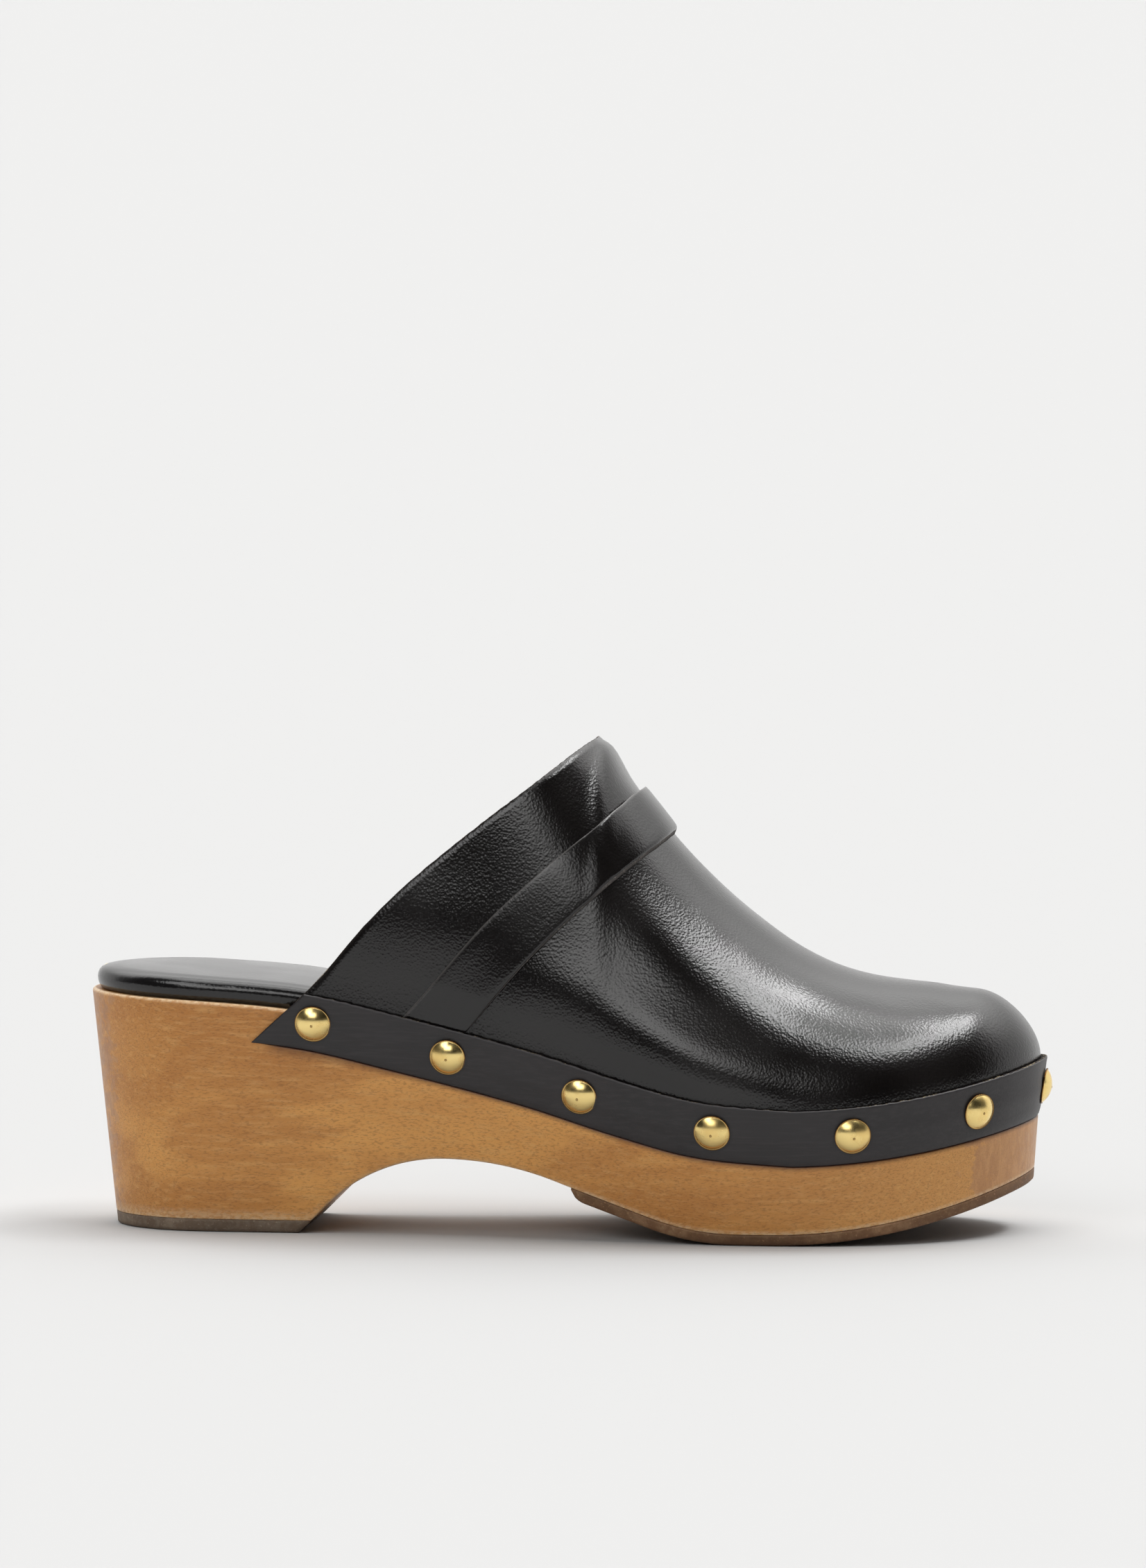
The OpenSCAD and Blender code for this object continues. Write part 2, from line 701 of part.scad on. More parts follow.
module rand_studs() {
    pip_r = 0.55;
    dome_r = (pow(stud_d / 2, 2) + pow(stud_rise, 2)) / (2 * stud_rise);
    dome_angle = asin(stud_d / 2 / dome_r);
    dome_steps = 7;
    dome = [for (i = [1 : dome_steps])
        let (a = dome_angle * (1 - i / dome_steps))
        [dome_r * sin(a), stud_rise - dome_r * (1 - cos(a))]];
    color("#d9b64e")
        at_studs() {
            rotate_extrude($fn = 36)
                polygon(concat(
                    [[0, -stud_shank_l], [stud_shank_r, -stud_shank_l + 3], [stud_shank_r, 0.1]],
                    [[stud_d / 2 - 0.3, 0.1]],
                    dome
                ));
            translate([0, 0, stud_rise - 0.1])
                cylinder(r = pip_r, h = 0.2, $fn = 20);
        }
}

module lasting_tacks() {
    color("#8f8f8d")
        at_lasting_tacks() {
            cylinder(r = lasting_head_r, h = lasting_head_t, $fn = 20);
            translate([0, 0, -lasting_tack_l])
                cylinder(r = lasting_tack_r, h = lasting_tack_l, $fn = 16);
        }
}

wood_sole();
heel_top_piece();
forefoot_outsole();
heel_nails();
outsole_tacks();
insole_board();
footbed_foam();
footbed_cover();
vamp();
toe_puff();
topline_tape();
upper_lining();
instep_band();
lasting_tacks();
rand_strip();
rand_studs();
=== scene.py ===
"""A heeled clog: carved wooden sole, closed leather upper with an instep band, and a studded rand.

X runs from heel to toe, Y from the outer side of the foot (negative) to the inner side, Z up.
The shape is worked out in millimetres, and turned into metres when a mesh is made.
"""

import math

import bmesh
import bpy
import numpy as np
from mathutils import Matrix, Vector


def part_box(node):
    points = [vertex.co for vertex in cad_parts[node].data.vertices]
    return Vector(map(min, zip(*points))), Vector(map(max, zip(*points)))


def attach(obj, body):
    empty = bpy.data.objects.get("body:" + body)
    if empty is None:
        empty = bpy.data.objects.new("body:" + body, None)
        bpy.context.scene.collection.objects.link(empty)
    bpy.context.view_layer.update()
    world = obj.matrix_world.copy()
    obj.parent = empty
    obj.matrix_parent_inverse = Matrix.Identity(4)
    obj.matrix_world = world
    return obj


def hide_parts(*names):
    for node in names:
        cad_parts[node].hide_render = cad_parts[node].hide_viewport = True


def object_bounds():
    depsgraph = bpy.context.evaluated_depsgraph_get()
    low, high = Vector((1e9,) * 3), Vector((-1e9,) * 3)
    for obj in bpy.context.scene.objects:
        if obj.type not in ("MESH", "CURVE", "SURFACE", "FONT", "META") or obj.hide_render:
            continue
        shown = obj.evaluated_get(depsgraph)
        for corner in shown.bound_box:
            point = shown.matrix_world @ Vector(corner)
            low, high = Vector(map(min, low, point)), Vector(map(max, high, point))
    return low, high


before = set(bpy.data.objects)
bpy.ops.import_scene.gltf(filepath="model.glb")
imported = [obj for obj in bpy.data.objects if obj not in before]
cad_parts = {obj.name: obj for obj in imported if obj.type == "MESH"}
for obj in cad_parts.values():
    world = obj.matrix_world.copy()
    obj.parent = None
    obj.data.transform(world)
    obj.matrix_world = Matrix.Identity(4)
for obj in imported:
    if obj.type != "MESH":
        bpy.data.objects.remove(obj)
CAD_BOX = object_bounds()
MM = 0.001
OUTER, INNER = -1, 1  # side of the little toe, side of the big toe
SEED = 7


def low(node, axis):
    """Lowest value of a CAD node along x, y or z, in millimetres."""
    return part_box(node)[0]["xyz".index(axis)] / MM


def high(node, axis):
    """Highest value of a CAD node along x, y or z, in millimetres."""
    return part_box(node)[1]["xyz".index(axis)] / MM


# ---- Driving sizes, in millimetres

RAND_LIFT = 1.15  # how far the rand stands out over the vamp's edge
STUD_RISE = 2.2  # height of a nail head's dome
HEEL_BACK = low("wood_sole", "x")
SOLE_LENGTH = -2 * HEEL_BACK - RAND_LIFT - STUD_RISE
TOE_TIP = HEEL_BACK + SOLE_LENGTH
HEEL_HEIGHT = high("wood_sole", "z")
THROAT_HEIGHT = high("vamp", "z")
HEEL_RUBBER = high("heel_top_piece", "z")
SOLE_RUBBER = 2.9
HALF_HEEL = 30.5
HALF_BALL = 45.5
PLATFORM = 31.0
ARCH_HEIGHT = 20.6
REBATE = 1.6  # depth of the step round the wood's top edge
VAMP_T = 1.2
LINING_T = 0.8
BAND_T = 1.3
RAND_WIDTH = 14.8
STUD_R = 4.75
STUDS_PER_SIDE = 6
FOOTBED_T = 6.8


# ---- Curves along the shoe. Stations are in percent of the sole's length, from the heel.


def percent(x):
    return 100 * (x - HEEL_BACK) / SOLE_LENGTH


def station(p):
    return HEEL_BACK + SOLE_LENGTH * p / 100


def curve(points, x):
    """Smooth curve through (station, value) points."""
    s_of, v_of = np.array(points, float).T
    n = len(s_of)
    before = np.maximum(np.arange(n) - 1, 0)
    after = np.minimum(np.arange(n) + 1, n - 1)
    slope = (v_of[after] - v_of[before]) / (s_of[after] - s_of[before])
    s = np.clip(percent(np.asarray(x, float)), s_of[0], s_of[-1])
    i = np.clip(np.searchsorted(s_of, s, side="right") - 1, 0, n - 2)
    w = s_of[i + 1] - s_of[i]
    t = (s - s_of[i]) / w
    return (
        (2 * t**3 - 3 * t**2 + 1) * v_of[i]
        + (3 * t**2 - 2 * t**3) * v_of[i + 1]
        + w * ((t**3 - 2 * t**2 + t) * slope[i] + (t**3 - t**2) * slope[i + 1])
    )


def ramp(a, b, x):
    """0 before a, 1 after b, and smooth between."""
    t = np.clip((np.asarray(x, float) - a) / (b - a), 0, 1)
    return t * t * (3 - 2 * t)


# ---- Plan of the sole

MIDDLE_LINE = [(0, -1), (25, -1), (50, -0.5), (70, 0), (85, 3), (100, 7.5)]
OUTER_HALF = [
    (0, HALF_HEEL - 1), (14, HALF_HEEL), (28, HALF_HEEL + 1.5), (42, HALF_BALL * 0.77),
    (54, HALF_BALL * 0.88), (67, HALF_BALL), (80, HALF_BALL * 1.01), (100, HALF_BALL * 0.93),
]
INNER_HALF = [
    (0, HALF_HEEL - 1), (14, HALF_HEEL), (28, HALF_HEEL), (42, HALF_BALL * 0.72),
    (54, HALF_BALL * 0.82), (66, HALF_BALL * 0.96), (75, HALF_BALL), (87, HALF_BALL * 0.93),
    (100, HALF_BALL * 0.8),
]
HEEL_ROUND_X = station(13)
TOE_ROUND_X = station(76)
TOE_SQUARENESS = 2.25


def middle_y(x):
    return curve(MIDDLE_LINE, x)


def end_round(x):
    """Share of the full width left at x, where the sole rounds off at the heel and the toe."""
    heel = np.clip((HEEL_ROUND_X - x) / (HEEL_ROUND_X - HEEL_BACK), 0, 1)
    toe = np.clip((x - TOE_ROUND_X) / (TOE_TIP - TOE_ROUND_X), 0, 1)
    return np.sqrt(1 - heel**2) * (1 - toe**TOE_SQUARENESS) ** (1 / TOE_SQUARENESS)


def edge_y(side, x):
    half = np.where(np.asarray(side) == OUTER, curve(OUTER_HALF, x), curve(INNER_HALF, x))
    return middle_y(x) + side * half * end_round(x)


def x_at(t):
    """The edge is counted by t, 0 at the heel and 1 at the toe, closer near the ends."""
    return HEEL_BACK + SOLE_LENGTH * (1 - np.cos(np.pi * np.asarray(t, float))) / 2


def t_at(x):
    return np.arccos(np.clip(1 - 2 * (np.asarray(x, float) - HEEL_BACK) / SOLE_LENGTH, -1, 1)) / np.pi


def edge_normal(side, t):
    """Outward direction, seen from above, of the sole's edge at t."""
    step = 0.002
    t0 = np.maximum(t - step, 0)
    t1 = np.minimum(t + step, 1)
    dx = x_at(t1) - x_at(t0)
    dy = edge_y(side, x_at(t1)) - edge_y(side, x_at(t0))
    length = np.hypot(dx, dy)
    return -side * dy / length, side * dx / length


# ---- Heights along the sole

HEEL_TO_BALL = [(0, 1), (14, 0.96), (24, 0.89), (34, 0.72), (48, 0.45), (58, 0.22), (66, 0.07), (76, 0)]
TOE_LIFT = 9.5
WALL_LEAN = [(0, 6), (25, 7), (50, 10), (68, 11), (85, 8), (100, 4)]  # degrees


def wood_top(x):
    lift = TOE_LIFT * np.maximum(0, (percent(x) - 74) / 26) ** 2
    return PLATFORM + (HEEL_HEIGHT - PLATFORM) * curve(HEEL_TO_BALL, x) + lift


def top_stretch(x):
    return np.sqrt(1 + ((wood_top(x + 1) - wood_top(x - 1)) / 2) ** 2)


def wall(side, t, z, d=0.0):
    """A point on the side wall at height z, d outside the wood. The wall leans out as it rises."""
    x = x_at(t)
    out = d + (z - wood_top(x)) * np.tan(np.radians(curve(WALL_LEAN, x)))
    nx, ny = edge_normal(side, t)
    return np.stack(np.broadcast_arrays(x + nx * out, edge_y(side, x) + ny * out, z), -1)


# ---- Underside of the wood: breast of the heel, arch, ramp, tread and toe

BREAST = math.radians(45)
RAMP = math.radians(19)
ARCH_HEEL_R = 45
ARCH_RAMP_R = 88
TREAD_R = 70
ARCH_X = station(38.8)
RAMP_TOP_X = ARCH_X + ARCH_RAMP_R * math.sin(RAMP)
RAMP_TOP_Z = ARCH_HEIGHT - ARCH_RAMP_R * (1 - math.cos(RAMP))
RAMP_FOOT_Z = SOLE_RUBBER + TREAD_R * (1 - math.cos(RAMP))
RAMP_FOOT_X = RAMP_TOP_X + (RAMP_TOP_Z - RAMP_FOOT_Z) / math.tan(RAMP)
TREAD_X = RAMP_FOOT_X + TREAD_R * math.sin(RAMP)
ROCKER_X = TREAD_X + 8
TOE_SPRING = 13.5
ROCKER_R = (TOE_TIP - ROCKER_X) ** 2 / (2 * TOE_SPRING)
BREAST_TOP_X = ARCH_X - ARCH_HEEL_R * math.sin(BREAST)
BREAST_TOP_Z = ARCH_HEIGHT - ARCH_HEEL_R * (1 - math.cos(BREAST))
BREAST_FOOT_X = BREAST_TOP_X - BREAST_TOP_Z / math.tan(BREAST)


def sagitta(run, radius):
    """How far an arc drops from its tangent over a run."""
    return radius - np.sqrt(np.maximum(radius**2 - run**2, 0))


def underside(x, drop=0.0):
    """Height of the wood's underside; drop moves the tread down along its normal, for the rubber."""
    x = np.asarray(x, float)
    parts = [
        (x < BREAST_FOOT_X + HEEL_RUBBER / math.tan(BREAST), HEEL_RUBBER + 0 * x),
        (x < BREAST_TOP_X, (x - BREAST_FOOT_X) * math.tan(BREAST)),
        (x < ARCH_X, ARCH_HEIGHT - sagitta(ARCH_X - x, ARCH_HEEL_R)),
        (x < RAMP_TOP_X, ARCH_HEIGHT - sagitta(x - ARCH_X, ARCH_RAMP_R)),
        (x < RAMP_FOOT_X, RAMP_TOP_Z - (x - RAMP_TOP_X) * math.tan(RAMP) - drop / math.cos(RAMP)),
        (x < TREAD_X, SOLE_RUBBER - drop + sagitta(TREAD_X - x, TREAD_R + drop)),
        (x < ROCKER_X, SOLE_RUBBER - drop + 0 * x),
    ]
    toe = SOLE_RUBBER - drop + sagitta(np.maximum(x - ROCKER_X, 0), ROCKER_R + drop)
    return np.select([p[0] for p in parts], [p[1] for p in parts], toe)


def settle(side, t, height, d=0.0):
    """Points on the wall whose height is a function of their own x."""
    z = height(x_at(t))
    for _ in range(4):
        z = height(wall(side, t, z, d)[..., 0])
    return wall(side, t, z, d)


# ---- Rand and upper: shared lines

RAND_DROP = 2.5  # the rand's middle line lies this far below the wood's top edge
RAND_TAIL_X = station(21.3)
TAIL_SLANT = 1.0  # the tail's end leans forward this much for each millimetre up
FEATHER_DEPTH = 0.8  # the vamp comes out from this far below the rand's top edge
FEATHER_INSET = 0.4


def rand_z(x, v):
    """Height of a point v millimetres above the rand's middle line."""
    return wood_top(x) - RAND_DROP + v * top_stretch(x)


def rand_point(side, t, v, d):
    """v millimetres above the rand's middle line, d outside the wood."""
    x = x_at(t)
    fade = 1 - ramp(RAND_TAIL_X, station(45), x)
    t2 = t_at(x + TAIL_SLANT * v * fade)
    return wall(side, t2, rand_z(x_at(t2), v), d)


def feather_z(x):
    return rand_z(x, RAND_WIDTH / 2 - FEATHER_DEPTH)


RIDGE = [
    (22, THROAT_HEIGHT + 75), (40, THROAT_HEIGHT + 35), (53.5, THROAT_HEIGHT), (55, THROAT_HEIGHT - 2.8),
    (57, 118.3), (61.7, 103.4), (66, 92), (70, 83.2), (74.5, 75), (79, 69.5), (84, 66.4), (90, 64.6),
    (96, 62.6), (100, 60.5),
]
TOE_CAP_X = station(93.4)
THROAT_LINE = [(15, 46), (24.3, 64), (31, 82.5), (38.5, 100), (53.5, THROAT_HEIGHT)]
BAND_BACK = [(30, 46.5), (35, 59), (45.5, 87.5), (58.6, 115.6)]
BAND_FRONT = [(38, 43), (41.6, 55), (52, 83.5), (61.6, 104)]


def side_fullness(x):
    """1 is a plain arch over the foot, less stands more upright at the sides."""
    return 0.55 + 0.35 * ramp(station(46), station(60), x)


def upper_point(x, phi, d=0.0):
    """Over station x, phi degrees round from the outer feather over the ridge to the inner feather."""
    x, phi, d = np.broadcast_arrays(np.asarray(x, float), phi, d)
    side = np.where(phi < 90, OUTER, INNER)
    foot = wall(side, t_at(x), feather_z(x), d - FEATHER_INSET)
    c = np.abs(np.cos(np.radians(phi)))
    slope = (curve(RIDGE, x + 1) - curve(RIDGE, x - 1)) / 2
    cap = np.sqrt(1 - np.clip((x - TOE_CAP_X) / (TOE_TIP - TOE_CAP_X), 0, 1) ** 2)
    rise = (curve(RIDGE, x) + d * np.sqrt(1 + slope**2) - feather_z(x)) * cap
    point = np.stack([
        x + (foot[..., 0] - x) * c,
        middle_y(x) + (foot[..., 1] - middle_y(x)) * c ** side_fullness(x),
        feather_z(x) + rise * np.sin(np.radians(phi)),
    ], -1)
    at_the_tip = x > TOE_TIP - 0.01
    return np.where(at_the_tip[..., None], foot, point)


def crossing(line, phi, d=0.0, steps=26):
    """Station where the upper crosses a cut line, found by halving."""
    phi = np.asarray(phi, float)
    a = np.full(phi.shape, station(line[0][0]))
    b = np.full(phi.shape, station(line[-1][0]))
    for _ in range(steps):
        m = (a + b) / 2
        above = upper_point(m, phi, d)[..., 2] > curve(line, m)
        a, b = np.where(above, m, a), np.where(above, b, m)
    return a


# ---- Smooth random waves, the same in every run


def waves(u, length, seed, octaves=3):
    """Soft noise along u, about -1 to 1, with its longest wave `length` long."""
    rng = np.random.default_rng(SEED + seed)
    total = np.zeros(np.shape(u))
    for k in range(octaves):
        for _ in range(3):
            f = 2 * np.pi / (length / 2**k) * rng.uniform(0.7, 1.3)
            total += np.sin(f * np.asarray(u) + rng.uniform(0, 2 * np.pi)) / 2**k / 3
    return total


# ---- Meshes


def grid_faces(rows, cols, wrap=False):
    """Quads between neighbouring points of a grid, as lists of point numbers."""
    i, j = np.meshgrid(np.arange(rows - 1), np.arange(cols if wrap else cols - 1), indexing="ij")
    k = (j + 1) % cols
    quads = np.stack([i * cols + j, i * cols + k, (i + 1) * cols + k, (i + 1) * cols + j], -1)
    return quads.reshape(-1, 4)


def tube_faces(rows, cols, first=False, last=False):
    """Faces round a closed section that is carried along, and over its first or last row if asked."""
    faces = grid_faces(rows, cols, wrap=True).tolist()
    if first:
        faces.append(list(range(cols)))
    if last:
        faces.append(list(range((rows - 1) * cols, rows * cols)))
    return faces


def make_piece(name, points, faces, materials, face_slots=None, attributes=None):
    """A mesh piece from points in millimetres. Equal points are joined and faces turned outwards."""
    mesh = bpy.data.meshes.new(name)
    mesh.from_pydata((np.asarray(points) * MM).tolist(), [], [list(map(int, f)) for f in faces])
    for key, values in (attributes or {}).items():
        mesh.attributes.new(key, "FLOAT", "POINT").data.foreach_set("value", np.asarray(values, np.float32))
    if face_slots is not None:
        mesh.polygons.foreach_set("material_index", np.asarray(face_slots, np.int32))
    work = bmesh.new()
    work.from_mesh(mesh)
    bmesh.ops.remove_doubles(work, verts=work.verts, dist=1e-6)
    bmesh.ops.dissolve_degenerate(work, edges=work.edges, dist=1e-7)
    bmesh.ops.recalc_face_normals(work, faces=work.faces)
    work.to_mesh(mesh)
    work.free()
    mesh.polygons.foreach_set("use_smooth", np.ones(len(mesh.polygons), bool))
    for m in materials:
        mesh.materials.append(m)
    piece = bpy.data.objects.new(name, mesh)
    bpy.context.scene.collection.objects.link(piece)
    return piece


def sheet_pair(top, bottom, rim_rows):
    """Points and faces of a closed solid between two sheets. rim_rows lie between their first rows.

    The side faces fit sheets with equally many rows. With others, as in the vamp, some run far along.
    Returns the points, the faces and, for each face, whether it belongs to the first rows' rim.
    """
    rows, cols = top.shape[:2]
    inside = bottom.shape[0]
    loop = np.concatenate([top[::-1], rim_rows, bottom])
    n = loop.shape[0]
    faces = grid_faces(n, cols)
    row_of = np.repeat(np.arange(n - 1), cols - 1)
    rim = (row_of >= rows - 1) & (row_of < n - inside)
    last = np.stack([np.arange(cols - 1), np.arange(1, cols), (n - 1) * cols + np.arange(1, cols),
                     (n - 1) * cols + np.arange(cols - 1)], -1)
    sides = []
    for j in (0, cols - 1):
        for i in range(n // 2):
            sides.append([i * cols + j, (i + 1) * cols + j, (n - 2 - i) * cols + j, (n - 1 - i) * cols + j])
    faces = list(faces) + list(last) + [f for f in sides if len(set(f)) > 2]
    slots = np.zeros(len(faces), int)
    slots[: len(rim)] = rim
    return loop.reshape(-1, 3), faces, slots


# ---- Shader helpers


class Nodes:
    """Short calls for the nodes of a material or of the world."""

    def __init__(self, tree):
        self.tree = tree

    def feed(self, target, value):
        """Link a value to an input, or store it there."""
        if isinstance(value, bpy.types.NodeSocket):
            self.tree.links.new(value, target)
        elif value is not None:
            target.default_value = (*value, 1) if target.type == "RGBA" else value

    def node(self, kind, inputs=(), **properties):
        made = self.tree.nodes.new(kind)
        for key, value in properties.items():
            setattr(made, key, value)
        for key, value in dict(inputs).items():
            self.feed(made.inputs[key], value)
        return made

    def place(self, stretch=(1, 1, 1), turn=(0, 0, 0)):
        """The point's place in the shoe's frame, in metres, stretched for grain that runs one way."""
        coordinates = self.node("ShaderNodeTexCoord").outputs["Object"]
        turned = self.node("ShaderNodeMapping", {"Vector": coordinates, "Rotation": turn}).outputs[0]
        return self.node("ShaderNodeMapping", {"Vector": turned, "Scale": stretch}).outputs[0]

    def noise(self, place, scale, detail=3.0, roughness=0.5, distortion=0.0):
        inputs = {"Vector": place, "Scale": scale, "Detail": detail}
        inputs.update({"Roughness": roughness, "Distortion": distortion})
        return self.node("ShaderNodeTexNoise", inputs).outputs["Fac"]

    def cells(self, place, scale, feature="F1", smooth=None):
        inputs = {"Vector": place, "Scale": scale}
        if smooth is not None:
            inputs["Smoothness"] = smooth
        return self.node("ShaderNodeTexVoronoi", inputs, feature=feature).outputs["Distance"]

    def attribute(self, name):
        return self.node("ShaderNodeAttribute", attribute_name=name).outputs["Fac"]

    def span(self, value, low_in, high_in, low_out=0.0, high_out=1.0):
        """A smooth step of a value, from low_in..high_in to low_out..high_out."""
        inputs = {"Value": value, "From Min": low_in, "From Max": high_in}
        inputs.update({"To Min": low_out, "To Max": high_out})
        return self.node("ShaderNodeMapRange", inputs, interpolation_type="SMOOTHSTEP").outputs[0]

    def math(self, operation, a, b=None):
        return self.node("ShaderNodeMath", {0: a, 1: b}, operation=operation).outputs[0]

    def mix(self, share, a, b):
        return self.node("ShaderNodeMix", {0: share, 6: a, 7: b}, data_type="RGBA").outputs[2]

    def bump(self, height, depth, strength=1.0, under=None):
        """Bump from a height of 0 to 1 that stands for `depth` metres."""
        inputs = {"Height": height, "Distance": depth, "Strength": strength, "Normal": under}
        return self.node("ShaderNodeBump", inputs).outputs[0]


class Shader(Nodes):
    """A node material with one Principled BSDF."""

    def __init__(self, name, **sockets):
        self.material = bpy.data.materials.new(name)
        self.material.use_nodes = True
        super().__init__(self.material.node_tree)
        self.bsdf = self.tree.nodes["Principled BSDF"]
        for key, value in sockets.items():
            self.set(key.replace("_", " "), value)

    def set(self, socket, value):
        self.feed(self.bsdf.inputs[socket], value)


# ---- Materials


def leather(name, colour, roughness, grain=1.0, streak=0.0, edge=None):
    """Dyed calf: fine pebbled grain, soft blotches, and a dusty tone where the finish is worn.

    streak adds lengthwise streaks. edge is the colour where the mesh's attribute "edge" falls to 0: a
    lighter tone at the vamp's topline, a painted highlight along the band's back edge, and a painted shadow
    ring round each stud on the rand.
    """
    s = Shader(name, Specular_IOR_Level=0.55)
    place = s.place()
    pores = s.cells(place, 1500, "SMOOTH_F1", 0.6)
    wrinkle = s.noise(s.place((1, 1, 0.55), (0.5, 0.3, 0.7)), 2300, 3, 0.6)
    creases = s.noise(s.place((1, 1, 0.6), (0.2, 0.4, 0.1)), 1000, 2, 0.5, 0.6)
    patches = s.noise(place, 38, 1, 0.5)
    worn = tuple(min(1.0, 2.1 * c + 0.004) for c in colour)
    tone = s.mix(s.span(patches, 0.38, 0.72, 0, 0.4), colour, worn)
    if streak:
        lines = s.noise(s.place((0.06, 1, 1.4)), 900, 3, 0.65)
        tone = s.mix(s.span(lines, 0.42, 0.7, 0, streak), tone, tuple(2.6 * c for c in colour))
    if edge is not None:
        # Where edge is low: a painted highlight on the band, painted shadow rings on the rand, and a lighter
        # topline on the vamp.
        tone = s.mix(s.span(s.attribute("edge"), 0.0, 0.9, 0.55, 0), tone, edge)
    s.set("Base Color", tone)
    s.set("Roughness", s.span(patches, 0.3, 0.7, roughness - 0.03, roughness + 0.03))
    height = s.math("ADD", s.math("MULTIPLY", pores, 0.9), s.math("MULTIPLY", wrinkle, 0.7))
    grained = s.bump(height, 0.00009 * grain, 0.6)
    s.set("Normal", s.bump(creases, 0.00006 * grain, 0.4, grained))
    return s.material


def raw_edge(name, dark, pale):
    """A cut edge of dyed leather: matt fibres, mostly dark with paler specks where the dye missed."""
    s = Shader(name, Roughness=0.85, Specular_IOR_Level=0.2)
    place = s.place()
    specks = s.noise(place, 1500, 3, 0.7)
    long = s.noise(place, 130, 3, 0.6)
    chance = s.math("MULTIPLY", s.span(specks, 0.52, 0.66), s.span(long, 0.42, 0.62))
    s.set("Base Color", s.mix(chance, dark, pale))
    s.set("Normal", s.bump(specks, 0.0002, 0.9))
    return s.material


def wood():
    """Oiled alder: fibres along the sole, short dark flecks, a slow change of tone, pinker end grain."""
    s = Shader("oiled_alder", Specular_IOR_Level=0.42, Coat_Weight=0.18, Coat_Roughness=0.28)
    slow = s.noise(s.place((1, 1, 2.2)), 11, 3, 0.5, 0.4)
    bands = s.noise(s.place((0.22, 1, 1), (0, 0.10, 0)), 75, 4, 0.55, 0.5)
    fibre = s.noise(s.place((0.10, 1, 1)), 950, 4, 0.6)
    flecks = s.noise(s.place((0.28, 1, 1), (0, 0.05, 0)), 2700, 3, 0.65)
    shimmer = s.noise(s.place((0.35, 1, 1)), 620, 4, 0.6)
    x = s.node("ShaderNodeSeparateXYZ", {0: s.node("ShaderNodeTexCoord").outputs["Object"]}).outputs[0]
    honey, amber, tan = (0.70, 0.335, 0.081), (0.46, 0.184, 0.036), (0.67, 0.356, 0.107)
    tone = s.mix(s.span(slow, 0.32, 0.68), honey, amber)
    tone = s.mix(s.span(bands, 0.42, 0.62, 0, 0.7), tone, amber)
    tone = s.mix(s.span(x, station(58) * MM, station(98) * MM, 0, 0.5), tone, tan)
    tone = s.mix(s.span(fibre, 0.48, 0.70, 0, 0.5), tone, tan)
    tone = s.mix(s.span(shimmer, 0.46, 0.74, 0, 0.22), tone, (0.66, 0.38, 0.15))
    tone = s.mix(s.span(flecks, 0.48, 0.66, 0, 0.45), tone, (0.22, 0.085, 0.020))
    rays = s.noise(s.place((0.25, 1, 1)), 260, 3, 0.6)
    ragged = s.math("ADD", s.attribute("end_grain"), s.span(rays, 0.3, 0.7, -0.35, 0.35))
    end = s.span(ragged, 0.36, 0.66, 0, 0.6)
    pith = s.noise(s.place((1, 1, 0.3)), 480, 4, 0.7, 0.8)
    end_tone = s.mix(s.span(pith, 0.35, 0.65), (0.33, 0.155, 0.072), (0.46, 0.24, 0.11))
    tone = s.mix(end, tone, end_tone)
    fibres = s.span(s.noise(s.place((0.5, 1, 1)), 1300, 3, 0.7), 0.40, 0.58, 0.35, 1)
    tone = s.mix(s.math("MULTIPLY", s.attribute("rim"), fibres), tone, (0.80, 0.60, 0.37))
    # Painted shadow: a dark line in the groove under the rand.
    tone = s.mix(s.attribute("groove"), tone, (0.055, 0.016, 0.008))
    s.set("Base Color", tone)
    s.set("Roughness", s.span(shimmer, 0.3, 0.75, 0.40, 0.58))
    rough = s.bump(fibre, 0.00012, 0.5)
    rough = s.bump(shimmer, 0.00014, 0.5, rough)
    s.set("Normal", s.bump(flecks, 0.0001, 0.4, rough))
    return s.material


def rubber(name, base, pale, dark):
    """Mottled crepe rubber with pale dust, darker patches, and a darker tone towards the ground."""
    s = Shader(name, Specular_IOR_Level=0.35, Subsurface_Weight=0.08, Subsurface_Scale=0.002)
    place = s.place()
    mottle = s.noise(place, 330, 4, 0.65)
    dust = s.noise(place, 1400, 3, 0.7)
    slow = s.noise(place, 26, 3, 0.5)
    tone = s.mix(s.span(mottle, 0.38, 0.66), base, pale)
    tone = s.mix(s.span(slow, 0.4, 0.65, 0, 0.5), tone, dark)
    tone = s.mix(s.span(dust, 0.58, 0.7, 0, 0.35), tone, tuple(min(1, 1.9 * c) for c in pale))
    # Darker towards the ground: the attribute worn only says how near the ground a point is.
    tone = s.mix(s.span(s.attribute("worn"), 0, 1, 0, 0.7), tone, dark)
    s.set("Base Color", tone)
    s.set("Roughness", s.span(mottle, 0.3, 0.7, 0.55, 0.78))
    s.set("Normal", s.bump(dust, 0.00015, 0.6, s.bump(mottle, 0.0003, 0.5)))
    return s.material


